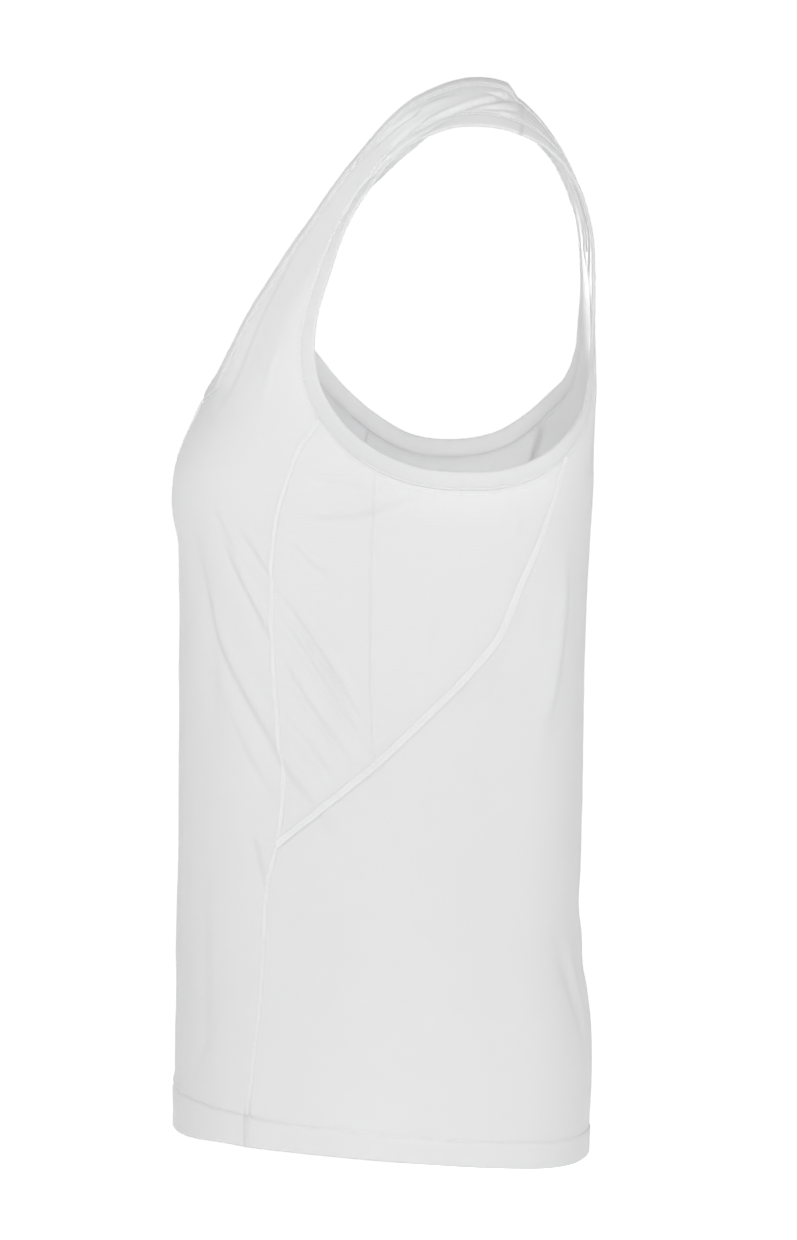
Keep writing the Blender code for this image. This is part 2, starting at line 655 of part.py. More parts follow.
def faces_inward(points):
    """True where a grid's rows and columns run so that its faces look into the body."""
    middle = points.shape[0] // 2
    corner = points[middle, 1]
    normal = np.cross(points[middle, 2] - corner, points[middle + 1, 1] - corner)
    to_left = np.array([np.sign(corner[0]), 1, 1])
    return (normal * to_left) @ outward((corner * to_left)[None])[0] < 0


def cloth_object(name, grids, wall, finish, hem_wall=None):
    """One piece of cloth: grids bent to their points, joined where they meet, and given a wall."""
    mesh = bpy.data.meshes.new(name)
    shape = bmesh.new()
    weight = shape.verts.layers.deform.verify()
    for grid in grids:
        points = creased(grid)
        rows, columns = points.shape[:2]
        before = len(shape.verts)
        made = bmesh.ops.create_grid(shape, x_segments=columns - 1, y_segments=rows - 1, size=1)
        shape.verts.ensure_lookup_table()
        for index, vert in enumerate(shape.verts[before:]):
            row, column_ = divmod(index, columns)
            vert.co = points[row, column_]
            vert[weight][0] = 1.0 if hem_wall and row <= 1 else 0.0
        if faces_inward(points):
            faces = {face for vert in made["verts"] for face in vert.link_faces}
            bmesh.ops.reverse_faces(shape, faces=list(faces))
    bmesh.ops.remove_doubles(shape, verts=shape.verts, dist=1e-5)
    shape.to_mesh(mesh)
    shape.free()
    piece = bpy.data.objects.new(name, mesh)
    piece.vertex_groups.new(name="hem")
    mesh.materials.append(finish)
    mesh.shade_smooth()
    solid = piece.modifiers.new("wall", "SOLIDIFY")
    solid.thickness = wall
    solid.offset = 0
    if hem_wall:
        solid.thickness = hem_wall
        solid.vertex_group = "hem"
        solid.thickness_vertex_group = wall / hem_wall
    return piece


def build():
    for old in list(bpy.data.objects):
        bpy.data.objects.remove(old)
    parts = bpy.data.collections.new("running_singlet")
    bpy.context.scene.collection.children.link(parts)
    jersey = (0.86, 0.86, 0.87)
    mesh_knit = (0.88, 0.88, 0.89)
    left, right = Seams("left"), Seams("right")
    to_right = np.array([-1, 1, 1])
    made = [
        cloth_object("front_panel", [front_grid(left), front_grid(right) * to_right],
                     CLOTH_WALL, material("front_jersey", jersey, 0.62), HEM_WALL),
        cloth_object("back_panel", [back_grid(left), back_grid(right) * to_right],
                     CLOTH_WALL, material("back_jersey", jersey, 0.62), HEM_WALL),
        cloth_object("neck_binding", [neck_binding_grid(left)], BINDING_WALL,
                     material("neck_tape", jersey, 0.55)),
    ]
    for side, seams, sign in (("left", left, 1), ("right", right, -1)):
        flip = np.array([sign, 1, 1])
        for name, grid, wall, colour in (
                ("insert_front_", insert_front_grid(seams), CLOTH_WALL, mesh_knit),
                ("insert_back_", insert_back_grid(seams), CLOTH_WALL, mesh_knit),
                ("armhole_binding_", armhole_binding_grid(seams), BINDING_WALL, jersey)):
            made.append(cloth_object(name + side, [grid * flip], wall, material(name + side, colour, 0.6)))
    for piece in made:
        parts.objects.link(piece)


build()
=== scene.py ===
import math

import bmesh
import bpy
import numpy as np
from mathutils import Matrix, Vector, kdtree, noise


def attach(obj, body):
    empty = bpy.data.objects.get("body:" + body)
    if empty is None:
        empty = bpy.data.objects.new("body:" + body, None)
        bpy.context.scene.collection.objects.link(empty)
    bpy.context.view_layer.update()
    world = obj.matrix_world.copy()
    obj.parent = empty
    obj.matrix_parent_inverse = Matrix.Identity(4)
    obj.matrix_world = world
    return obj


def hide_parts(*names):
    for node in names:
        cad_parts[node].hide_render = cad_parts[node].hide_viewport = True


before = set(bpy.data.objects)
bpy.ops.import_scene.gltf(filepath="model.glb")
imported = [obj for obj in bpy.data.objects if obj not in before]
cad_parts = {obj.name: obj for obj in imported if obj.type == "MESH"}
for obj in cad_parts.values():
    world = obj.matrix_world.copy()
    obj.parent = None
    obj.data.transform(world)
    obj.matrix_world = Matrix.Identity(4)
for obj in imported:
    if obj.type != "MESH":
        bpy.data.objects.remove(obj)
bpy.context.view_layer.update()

print("frame loaded")

# All lengths are in metres. The front faces -Y, the wearer's left is +X, and the straps are at the top.

body = {
    "armpitY": -0.015, "armpitZ": -0.240, "armpitHalfWidth": 0.157,  # what the upper sections turn about
    "frontLean": 0.06, "backLean": 0.05,
    "hemLevel": -0.600,
    "shoulderSeamTurn": 98.4,
    "bindingWidth": 0.0106,
    "seamGap": 0.00003,
    "tipWidth": 0.0016,
    "backWaist": -0.60, "backBlade": 0.15,
    "turnRise": 0.19,  # length of cloth for each radian of turn
}
# how finely the form and the lines on it are worked out: steps, and lengths in metres
fineness = {
    "nudge": 0.00001, "settleRounds": 6, "same": 0.000001, "faceSteps": 200, "curveSteps": 1400,
    "shoulderSteps": 60, "middleSteps": 200, "walkSteps": 420, "walkBias": 1.6, "tipSteps": 900,
    "linePitch": 0.0006, "foldSteps": 120, "hemSteps": 1200, "hemRounds": 4,
}
flip = np.array([-1, 1, 1])

hemRows = np.array([
    (-0.1800, -0.5970), (-0.1741, -0.5955), (-0.1690, -0.5946), (-0.1615, -0.5936), (-0.1516, -0.5930),
    (-0.1395, -0.5936), (-0.1171, -0.5944), (-0.0896, -0.5961), (-0.0515, -0.5991), (-0.0147, -0.6021),
    (0.0098, -0.6044), (0.0292, -0.6065), (0.0441, -0.6077), (0.0640, -0.6087),
])
levelColumns = ("z", "front", "back", "halfWidth", "widestY", "fullFront", "fullBack")
levelRows = np.array([
    (-0.625, 0.1772, 0.0602, 0.1745, -0.0520, 2.45, 2.60),
    (-0.600, 0.1770, 0.0614, 0.1730, -0.0515, 2.45, 2.60),
    (-0.565, 0.1762, 0.0635, 0.1700, -0.0510, 2.40, 2.65),
    (-0.530, 0.1756, 0.0625, 0.1655, -0.0500, 2.40, 2.70),
    (-0.505, 0.1754, 0.0590, 0.1620, -0.0490, 2.35, 2.75),
    (-0.480, 0.1756, 0.0571, 0.1590, -0.0475, 2.35, 2.80),
    (-0.435, 0.1748, 0.0569, 0.1555, -0.0430, 2.30, 2.85),
    (-0.390, 0.1743, 0.0579, 0.1545, -0.0360, 2.30, 2.90),
    (-0.335, 0.1742, 0.0586, 0.1550, -0.0250, 2.25, 2.95),
    (-0.285, 0.1742, 0.0600, 0.1565, -0.0165, 2.20, 3.00),
    (-0.240, 0.1773, 0.0622, 0.1570, -0.0150, 2.20, 3.00),
])
turnColumns = ("turn", "reach", "full")
turnRows = np.array([
    (0, 0.1623, 2.2), (10, 0.1634, 2.25), (20, 0.1603, 2.35), (30, 0.1590, 2.5), (45, 0.1676, 2.9),
    (55, 0.1762, 3.3), (65, 0.1897, 3.9), (75, 0.2118, 4.8), (85, 0.2389, 4.9), (92, 0.2500, 4.6),
    (98, 0.2447, 4.8), (104, 0.2254, 5.6), (108, 0.2096, 6.2), (114, 0.1850, 5.0), (120, 0.1569, 3.4),
    (125, 0.1380, 2.9), (130, 0.1240, 3.0), (140, 0.1046, 3.1), (150, 0.0911, 3.1), (165, 0.0814, 3.0),
    (180, 0.0772, 3.0),
])
neckRows = [
    (28.0, 0.0000), (28.7, 0.0160), (31.5, 0.0320), (37.0, 0.0430), (46.0, 0.0505), (56.0, 0.0560),
    (66.0, 0.0615), (75.0, 0.0675), (84.0, 0.0760), (91.0, 0.0800), (98.0, 0.0790), (102.5, 0.0740),
    (106.5, 0.0635), (110.5, 0.0485), (114.0, 0.0290), (116.4, 0.0130), (117.2, 0.0000),
]
armholeTop = [
    (0.0060, -0.0140), (-0.0082, -0.0126), (-0.0230, -0.0140), (-0.0385, -0.0205), (-0.0564, -0.0342),
    (-0.0711, -0.0525), (-0.0813, -0.0704), (-0.0904, -0.0966), (-0.0970, -0.1180), (-0.0994, -0.1380),
]
armholeUnder = {
    "left": [
        (-0.0962, -0.1590), (-0.0835, -0.1800), (-0.0640, -0.1955), (-0.0400, -0.2048), (-0.0150, -0.2074),
        (0.0090, -0.2056), (0.0300, -0.1975), (0.0435, -0.1870), (0.0547, -0.1710),
    ],
    "right": [
        (-0.0860, -0.1600), (-0.0710, -0.1775), (-0.0560, -0.1905), (-0.0330, -0.2035), (-0.0090, -0.2063),
        (0.0150, -0.2020), (0.0320, -0.1915), (0.0455, -0.1785), (0.0556, -0.1650),
    ],
}
armholeBack = [
    (131.0, 0.0960), (126.5, 0.0790), (121.9, 0.0710), (117.5, 0.0755), (113.6, 0.0870), (110.8, 0.0970),
    (107.5, 0.1080), (103.5, 0.1180), (99.0, 0.1240),
]
sideFrontSeam = [
    (-0.1382, -0.5936), (-0.1373, -0.5710), (-0.1337, -0.5395), (-0.1290, -0.4890), (-0.1254, -0.4407),
    (-0.1211, -0.4215), (-0.1178, -0.3964), (-0.1193, -0.3609), (-0.1222, -0.3258), (-0.1234, -0.2907),
    (-0.1235, -0.2660), (-0.1212, -0.2378), (-0.1158, -0.2168), (-0.1080, -0.1956),
]
sideFrontTop = (-0.1005, -0.1808)
slantSeam = [
    (-0.1211, -0.4215), (-0.0940, -0.3979), (-0.0659, -0.3743), (-0.0405, -0.3501), (-0.0138, -0.3234),
    (0.0033, -0.3025), (0.0159, -0.2731), (0.0297, -0.2404),
]
slantTop = (0.0444, -0.2007)
sideSeam = [(-0.0659, -0.3743), (-0.0676, -0.3500), (-0.0681, -0.2900), (-0.0672, -0.2400)]
sideSeamTop = (-0.0662, -0.2087)


# a smooth curve through rows of values, with its slope at either end where that is given
def smooth(at, xs, ys, first=None, last=None):
    at = np.clip(at, xs[0], xs[-1])
    step = np.diff(xs)
    rise = np.diff(ys) / step
    slope = np.empty(len(xs))
    slope[1:-1] = (rise[:-1] * step[1:] + rise[1:] * step[:-1]) / (step[:-1] + step[1:])
    slope[0] = rise[0] if first is None else first
    slope[-1] = rise[-1] if last is None else last
    i = np.clip(np.searchsorted(xs, at, side="right") - 1, 0, len(step) - 1)
    t = (at - xs[i]) / step[i]
    keep, move = 2 * t**3 - 3 * t**2 + 1, -2 * t**3 + 3 * t**2
    bend = (t**3 - 2 * t**2 + t) * slope[i] + (t**3 - t**2) * slope[i + 1]
    return keep * ys[i] + move * ys[i + 1] + bend * step[i]


def levelValue(name, z, last=None):
    return smooth(z, levelRows[:, 0], levelRows[:, levelColumns.index(name)], last=last)


def turnValue(name, turn):
    ends = (None, None)
    values = turnRows[:, turnColumns.index(name)]
    if name == "reach":
        ends = (body["frontLean"] * values[0], -body["backLean"] * values[-1])
    return smooth(turn, np.radians(turnRows[:, 0]), values, *ends)


# turn about the armpit line, from 0 at the front to half a turn at the back
def turnAt(y, z):
    return np.clip(np.arctan2(z - body["armpitZ"], body["armpitY"] - y), 0, math.pi)


def levelSection(z, atBack):
    widest = levelValue("widestY", z, last=0)
    reach = np.where(atBack, levelValue("back", z, last=body["backLean"]) - widest,
                     levelValue("front", z, last=body["frontLean"]) + widest)
    full = np.where(atBack, levelValue("fullBack", z), levelValue("fullFront", z))
    return reach, full, levelValue("halfWidth", z, last=0), widest


# reach, fullness, half width, and distance from the section's middle line, for side-view points
def sectionThrough(y, z):
    turn = turnAt(y, z)
    reach, full, half, widest = levelSection(z, y > levelValue("widestY", z, last=0))
    above = z >= body["armpitZ"]
    return (np.where(above, turnValue("reach", turn), reach),
            np.where(above, turnValue("full", turn), full),
            np.where(above, body["armpitHalfWidth"], half),
            np.where(above, np.hypot(z - body["armpitZ"], y - body["armpitY"]), np.abs(y - widest)))


def fromSide(rows):
    y, z = np.asarray(rows, float).T
    reach, full, half, away = sectionThrough(y, z)
    x = half * np.clip(1 - (away / reach) ** full, 0, 1) ** (1 / full)
    return np.stack([x, y, z], axis=-1)


def fromTurn(rows):
    turn, x = np.asarray(rows, float).T
    turn = np.radians(turn)
    reach, full = turnValue("reach", turn), turnValue("full", turn)
    away = reach * np.clip(1 - (np.abs(x) / body["armpitHalfWidth"]) ** full, 0, 1) ** (1 / full)
    y, z = body["armpitY"] - away * np.cos(turn), body["armpitZ"] + away * np.sin(turn)
    return np.stack([x, y, z], axis=-1)


# points of the front or back seen from the front, x and z
def fromFace(rows, atBack):
    found = []
    first, last = (180, 116) if atBack else (0, 90)
    turns = np.linspace(first, last, fineness["faceSteps"])
    for x, z in rows:
        if z < body["armpitZ"]:
            reach, full, half, widest = levelSection(np.array([z]), atBack)
            away = reach * (1 - (abs(x) / half) ** full) ** (1 / full)
            found.append([x, (widest + away if atBack else widest - away)[0], z])
        else:
            line = fromTurn(np.stack([turns, np.full(len(turns), x)], axis=1))
            turn = np.interp(z, line[:, 2], turns)
            found.append(fromTurn([(turn, x)])[0])
    return np.array(found)


# below 0 inside the form and above 0 outside it
def beyond(points):
    reach, full, half, away = sectionThrough(points[..., 1], points[..., 2])
    return (np.abs(points[..., 0]) / half) ** full + (away / reach) ** full - 1


def uphill(points):
    parts = []
    for axis in range(3):
        move = np.zeros(3)
        move[axis] = fineness["nudge"]
        parts.append((beyond(points + move) - beyond(points - move)) / (2 * fineness["nudge"]))
    return np.stack(parts, axis=-1)


# rows brought to length 1
def unit(rows):
    return rows / np.maximum(np.linalg.norm(rows, axis=-1, keepdims=True), 1e-12)


def outward(points):
    return unit(uphill(points))


# points moved onto the form
def settle(points):
    for _ in range(fineness["settleRounds"]):
        slope = uphill(points)
        points = points - slope * (beyond(points) / (slope**2).sum(-1))[..., None]
    return points


def hemZ(y):
    return smooth(y, hemRows[:, 0], hemRows[:, 1])


# girth is the share of the way round a section, 0 at its middle line, 1 at the side and more beyond it
def levelPoint(girth, z, atBack):
    past = girth > 1
    theta = np.where(past, 2 - girth, girth) * math.pi / 2
    behind = past != atBack
    reach, full, half, widest = levelSection(z, behind)
    x = half * np.sin(theta) ** (2 / full)
    away = reach * np.cos(theta) ** (2 / full)
    return x, np.where(behind, widest + away, widest - away)


def hemDrop(girth, atBack):
    _, y = levelPoint(girth, np.full_like(girth, body["hemLevel"]), atBack)
    return body["armpitZ"] - hemZ(y)


# a point of the front or back sheet: height is -1 at the hem, 0 at the armpit line, and turn above it
def onSheet(girth, height, atBack):
    turn = np.clip(height, 0, None)
    turn = np.where(atBack, math.pi - turn, turn)
    reach, full = turnValue("reach", turn), turnValue("full", turn)
    theta = np.clip(girth, 0, 1) * math.pi / 2
    away = reach * np.cos(theta) ** (2 / full)
    high = (body["armpitHalfWidth"] * np.sin(theta) ** (2 / full),
            body["armpitY"] - away * np.cos(turn), body["armpitZ"] + away * np.sin(turn))
    z = body["armpitZ"] + np.clip(height, None, 0) * hemDrop(girth, atBack)
    low = (*levelPoint(girth, z, atBack), z)
    return np.stack([np.where(height >= 0, above, below) for above, below in zip(high, low)], axis=-1)


def placeOnSheet(points, atBack):
    x, y, z = np.abs(points[..., 0]), points[..., 1], points[..., 2]
    reach, full, half, away = sectionThrough(y, z)
    girth = np.arctan2((x / half) ** (full / 2), (away / reach) ** (full / 2)) / (math.pi / 2)
    widest = levelValue("widestY", z, last=0)
    other = (z < body["armpitZ"]) & ((y < widest) if atBack else (y > widest))
    girth = np.where(other, 2 - girth, girth)
    below = (z - body["armpitZ"]) / hemDrop(girth, atBack)
    turn = math.pi - turnAt(y, z) if atBack else turnAt(y, z)
    return girth, np.where(z < body["armpitZ"], below, turn)


def heightOf(points, atBack):
    return placeOnSheet(points, atBack)[1][0]


# length along a line up to each of its points
def along(points):
    steps = np.linalg.norm(np.diff(points[:, :3], axis=0), axis=1)
    return np.concatenate([[0], np.cumsum(steps)])


def sampled(line, shares):
    far = along(line)
    return np.stack([np.interp(shares * far[-1], far, line[:, k]) for k in range(line.shape[1])], axis=1)


def joined(*parts):
    return np.concatenate([parts[0]] + [part[1:] for part in parts[1:]])


def even(count):
    return np.linspace(0, 1, count + 1)


def between(start, end, share):
    return start * (1 - share) + end * share


# a smooth line on the form through points; closed runs round, reflected is mirrored beyond both ends
def curveThrough(points, closed=False, reflected=False):
    lead, tail = (3, 4) if closed else (2, 2) if reflected else (0, 0)
    if closed:
        points = np.concatenate([points[-lead:], points, points[:tail]])
    if reflected:
        points = np.concatenate([(points[1:3] * flip)[::-1], points, (points[-3:-1] * flip)[::-1]])
    far = along(points)
    at = np.linspace(far[lead], far[len(far) - 1 - tail + closed], fineness["curveSteps"])
    return settle(np.stack([smooth(at, far, points[:, k]) for k in range(3)], axis=1))


# the line moved sideways along the form, to the right of its run as seen from outside
def turnedOut(line, amount, closed=False):
    run = np.roll(line, -1, axis=0) - np.roll(line, 1, axis=0) if closed else np.gradient(line, axis=0)
    return settle(line + amount * unit(np.cross(run, outward(line))))


def nearest(line, target):
    return int(np.argmin(np.hypot(line[:, 1] - target[0], line[:, 2] - target[1])))


# close rows beside a seam and above the hem, and the most of a width that they may take at either end
seamSteps = (0, 0.0004, 0.0009, 0.0014, 0.0019, 0.0024, 0.0030, 0.0039, 0.0054)
hemSteps = (0, 0.0003, 0.0008, 0.0015, 0.0030, 0.0060, 0.0090, 0.0115,
            *np.arange(0.0130, 0.0256, 0.0006), 0.0270)
mostClose = 0.34


# shares of a width, with close steps at either end
def places(width, count, start=None, end=None):
    start, end = start or (0,), end or (0,)
    tight = min(1, mostClose * width / max(start[-1], end[-1], 1e-9))
    low = np.array(start) * tight / width
    high = 1 - np.array(end[::-1]) * tight / width
    middle = np.linspace(low[-1], high[0], count + 3 - len(low) - len(high))
    return np.concatenate([low[:-1], middle, high[1:]])


# how many steps each stretch of a seam is cut into
cutCounts = {"below": 70, "waist": 130, "chest": 84, "racer": 84, "sloped": 30,
             "front": 66, "back": 62, "insertFront": 84, "insertBack": 66}
cutCounts["neckFront"] = cutCounts["chest"] + cutCounts["sloped"]
cutCounts["neckBack"] = cutCounts["racer"] - cutCounts["sloped"]


def cutInto(line, name, start=seamSteps, end=seamSteps):
    return sampled(line, places(along(line)[-1], cutCounts[name], start, end))


# the seam lines of one side, drawn on its left-hand form
class SeamPlan:
    def __init__(self, side):
        points = np.concatenate([fromSide(armholeTop), fromSide(armholeUnder[side]), fromTurn(armholeBack)])
        shoulderTurn = math.radians(body["shoulderSeamTurn"])
        edge = curveThrough(points, closed=True)[:-1]
        seam = turnedOut(edge, body["bindingWidth"], closed=True)
        off = np.abs(turnAt(seam[:, 1], seam[:, 2]) - shoulderTurn)
        off += (seam[:, 2] < body["armpitZ"] / 2) * math.pi
        ring = np.roll(np.hstack([seam, edge]), -int(np.argmin(off)), axis=0)
        self.ring = ring = np.concatenate([ring, ring[:1]])
        front, under, slant = (nearest(ring, top) for top in (sideFrontTop, sideSeamTop, slantTop))
        self.armholeFront = cutInto(ring[:front + 1], "chest", end=None)
        self.armholeInsertFront = cutInto(ring[front:under + 1], "insertFront")
        self.armholeInsertBack = cutInto(ring[under:slant + 1], "insertBack")
        self.armholeBack = cutInto(ring[slant:], "racer", start=None)
        self.armholeJoin = ring[under, :3]

        neckEdge = curveThrough(fromTurn(neckRows), reflected=True)
        self.neck = neck = np.hstack([turnedOut(neckEdge, body["bindingWidth"]), neckEdge])
        neck[[0, -1], 0] = 0
        split = int(np.argmin(np.abs(turnAt(neck[:, 1], neck[:, 2]) - shoulderTurn)))
        self.neckFront = cutInto(neck[:split + 1], "neckFront", start=None)
        self.neckBack = cutInto(neck[split:], "neckBack", end=None)
        start, end = self.neckFront[-1, :3], self.armholeFront[0, :3]
        self.shoulder = settle(start + (end - start) * even(fineness["shoulderSteps"])[:, None])

        self.sideFront = sideFront = self.upTo(sideFrontSeam, ring[front])
        sideFront[0, 2] = hemZ(sideFront[0, 1])
        junction = int(np.argmin(np.abs(sideFront[:, 2] - slantSeam[0][1])))
        self.sideFrontLow = cutInto(sideFront[:junction + 1], "below", hemSteps, None)
        self.sideFrontHigh = cutInto(sideFront[junction:], "waist")
        self.slant = slantLine = self.upTo(slantSeam, ring[slant])
        slantLine[0] = sideFront[junction]
        tip = nearest(slantLine, sideSeam[0])
        self.side = sideLine = self.upTo(sideSeam, ring[under])
        sideLine[0] = slantLine[tip]
        self.slantLow = cutInto(slantLine[:tip + 1], "insertFront")
        self.cutTip(sideLine, slantLine[tip:])

    def upTo(self, rows, end):
        return curveThrough(np.concatenate([fromSide(rows), end[None, :3]]))

    # the back insert runs to a point at its lower end, cut off square
    def cutTip(self, sideLine, slantLine):
        shares = even(fineness["tipSteps"])
        apart = np.linalg.norm(sampled(sideLine, shares) - sampled(slantLine, shares), axis=1)
        start = shares[int(np.argmax(apart > body["tipWidth"]))]
        shares = start + (1 - start) * places(along(slantLine)[-1], cutCounts["waist"], seamSteps, seamSteps)
        self.sideHigh = sampled(sideLine, shares)
        self.slantHigh = sampled(slantLine, shares)
        self.tip = sideLine[:1]


plans = {side: SeamPlan(side) for side in ("left", "right")}
print("seams drawn")

# The straps' neck edges stand off the smooth form, the left one forward and up, the right one back and down:
# degrees of turn, and millimetres at the left and right edge.
standRows = np.array([
    (22, 0.0, 0.0), (26, 0.5, -0.2), (28, 1.1, -0.4), (30, 1.8, -0.7), (32, 2.5, -1.2), (36, 3.2, -1.7),
    (42, 3.2, -2.6), (50, 3.3, -3.0), (55, 3.8, -2.8), (60, 4.8, -2.6), (70, 5.5, -3.0), (75, 5.8, -2.4),
    (80, 6.4, -2.6), (85, 7.4, -2.2), (90, 6.5, -1.8), (94, 6.6, -1.2), (95.8, 6.4, -0.8), (97.6, 1.0, -0.4),
    (100, 0.0, 0.0), (104, 0.0, 0.4), (108, 0.0, 1.6), (112, 0.0, 2.3), (115, 0.0, 2.0), (116.8, 0.0, 0.5),
    (117.5, 0.0, 0.0),
])
strapStand = {"width": 0.042, "blend": 0.016}


def eased(share):
    share = np.clip(share, 0, 1)
    return share**2 * (3 - 2 * share)


# how far the straps stand off the form, fading out from the neck towards the armhole
def standLift(points):
    x, y, z = points[..., 0], points[..., 1], points[..., 2]
    turn = np.degrees(turnAt(y, z))
    neckTurns, neckWidths = np.array(neckRows).T
    past = (np.abs(x) - np.interp(turn, neckTurns, neckWidths)) / strapStand["width"]
    left, right = (np.interp(turn, standRows[:, 0], standRows[:, side]) for side in (1, 2))
    amount = right + (left - right) * eased(0.5 + 0.5 * x / strapStand["blend"])
    return np.where(z > body["armpitZ"], 0.001 * amount * (1 - eased(past)), 0)


def tangents(line):
    steps = unit(np.diff(line, axis=0))
    return unit(np.concatenate([steps[:1], steps]) + np.concatenate([steps, steps[-1:]]))


# draws the named sides of a grid in by half of the seam gap
def inset(grid, sides):
    amount = body["seamGap"] / 2
    out = grid.copy()
    for side, where, inside in (("bottom", np.s_[0], np.s_[1]), ("top", np.s_[-1], np.s_[-2]),
                                ("inner", np.s_[:, 0], np.s_[:, 1]), ("outer", np.s_[:, -1], np.s_[:, -2])):
        if side not in sides:
            continue
        run = tangents(grid[where])
        pull = grid[inside] - grid[where]
        out[where] += amount * unit(pull - run * (pull * run).sum(1, keepdims=True))
    return out


# rows of points from an inner line to an outer one along the front or back sheet, and their places on the cut
def sheetRows(inner, outer, atBack, count):
    inGirth, inHeight = placeOnSheet(inner, atBack)
    onNeck = np.abs(inner[:, 0]) > fineness["same"]
    inGirth = np.where(onNeck, inGirth, 0.0)
    outGirth, outHeight = placeOnSheet(outer, atBack)
    ends = (inGirth, inHeight, outGirth, outHeight)
    inGirth, inHeight, outGirth, outHeight = (values[:, None] for values in ends)
    dense = even(fineness["walkSteps"]) ** fineness["walkBias"]
    share, across = np.empty((2, len(inner), count + 1))
    walk = onSheet(between(inGirth, outGirth, dense), between(inHeight, outHeight, dense), atBack)
    for row in range(len(inner)):
        far = along(walk[row])
        at = places(far[-1], count, seamSteps if onNeck[row] else None, seamSteps) * far[-1]
        share[row] = np.interp(at, far, dense)
        across[row] = at + inner[row, 0]
    girth, height = between(inGirth, outGirth, share), between(inHeight, outHeight, share)
    rise = height * np.where(height < 0, hemDrop(girth, atBack), body["turnRise"])
    return onSheet(girth, height, atBack), np.stack([across, rise], axis=-1)


# the grid of half a panel, from its middle line and neck to its side, and its cut
def panelGrid(inner, outer, atBack, name, neckName):
    grid, cut = sheetRows(inner, outer, atBack, cutCounts[name])
    neckRow = len(grid) - 1 - cutCounts[neckName]
    drawn = inset(grid, ("top", "outer"))
    drawn[neckRow:] = inset(grid[neckRow:], ("inner", "top", "outer"))
    drawn[:neckRow + 1, 0, 0] = 0
    return drawn, cut


def middleLine(low, high, count, atBack):
    return onSheet(np.zeros(count + 1), low + (high - low) * even(count), atBack)


def frontGrid(plan):
    neck = plan.neckFront[:, :3]
    junction, neckLow = heightOf(fromSide(slantSeam[:1]), False), heightOf(neck[:1], False)
    low = cutInto(middleLine(-1, junction, fineness["middleSteps"], False), "below", hemSteps, None)
    inner = joined(low, middleLine(junction, neckLow, cutCounts["waist"] - cutCounts["sloped"], False), neck)
    outer = joined(plan.sideFrontLow, plan.sideFrontHigh, plan.armholeFront[::-1, :3])
    return panelGrid(inner, outer, False, "front", "neckFront")


def backGrid(plan):
    neck = plan.neckBack[::-1, :3]
    waist, blade = body["backWaist"], body["backBlade"]
    low = cutInto(middleLine(-1, waist, fineness["middleSteps"], True), "below", hemSteps, None)
    inner = joined(low, middleLine(waist, blade, cutCounts["insertFront"] + cutCounts["waist"], True),
                   middleLine(blade, heightOf(neck[:1], True), cutCounts["sloped"], True), neck)
    outer = joined(plan.sideFrontLow, joined(plan.slantLow, plan.slantHigh), plan.armholeBack[:, :3])
    return panelGrid(inner, outer, True, "back", "neckBack")


# the grid that fills four seam lines as seen from the side, and its cut
def patchGrid(top, bottom, left, right):
    v = (along(left) / along(left)[-1])[:, None, None]
    u = (along(top) / along(top)[-1])[None, :, None]
    top, bottom, left, right = (line[:, 1:3] for line in (top, bottom, left, right))
    flat = (top[None] * (1 - v) + bottom[None] * v + left[:, None] * (1 - u) + right[:, None] * u
            - top[0] * (1 - v) * (1 - u) - top[-1] * (1 - v) * u
            - bottom[0] * v * (1 - u) - bottom[-1] * v * u)
    grid = fromSide(flat.reshape(-1, 2)).reshape(flat.shape[:2] + (3,))
    return inset(grid, ("bottom", "top", "inner", "outer")), flat


def insertFrontGrid(plan):
    side = joined(plan.tip, plan.sideHigh)
    return patchGrid(plan.armholeInsertFront[:, :3], plan.slantLow, plan.sideFrontHigh[::-1], side[::-1])


def insertBackGrid(plan):
    left, right = plan.sideHigh[::-1], plan.slantHigh[::-1]
    bottom = left[-1] + (right[-1] - left[-1]) * even(cutCounts["insertBack"])[:, None]
    return patchGrid(plan.armholeInsertBack[:, :3], bottom, left, right)


# A dense line on the form that answers how far points are from it, and how far along it they lie.
class Line:
    def __init__(self, points, side="left", closed=False):
        points = points[:, :3] * (flip if side == "right" else 1)
        self.points = sampled(points, even(max(8, int(along(points)[-1] / fineness["linePitch"]))))
        self.far = along(self.points)
        self.run = tangents(self.points)
        self.length = self.far[-1]
        self.closed = closed
        self.tree = kdtree.KDTree(len(self.points))
        for index, point in enumerate(self.points):
            self.tree.insert(point, index)
        self.tree.balance()

    # for the points within reach: their indices, distance off the line, signed side, place along, and how far
    # past its ends
    def near(self, points, reach, normals=None):
        low, high = self.points.min(0) - reach, self.points.max(0) + reach
        close = np.flatnonzero(((points > low) & (points < high)).all(axis=1))
        found = np.array([self.tree.find(points[index])[1:] for index in close]).reshape(-1, 2)
        keep = found[:, 1] < reach
        close, index = close[keep], found[keep, 0].astype(int)
        apart = points[close] - self.points[index]
        run = (apart * self.run[index]).sum(1)
        off = np.sqrt(np.maximum((apart**2).sum(1) - run**2, 0))
        ends = (index == 0) & (run < 0) | (index == len(self.points) - 1) & (run > 0)
        past = np.where(ends & (not self.closed), np.abs(run), 0)
        side = 0
        if normals is not None:
            side = np.sign((np.cross(self.run[index], normals[close]) * apart).sum(1))
        return close, off, side, self.far[index] + run, past


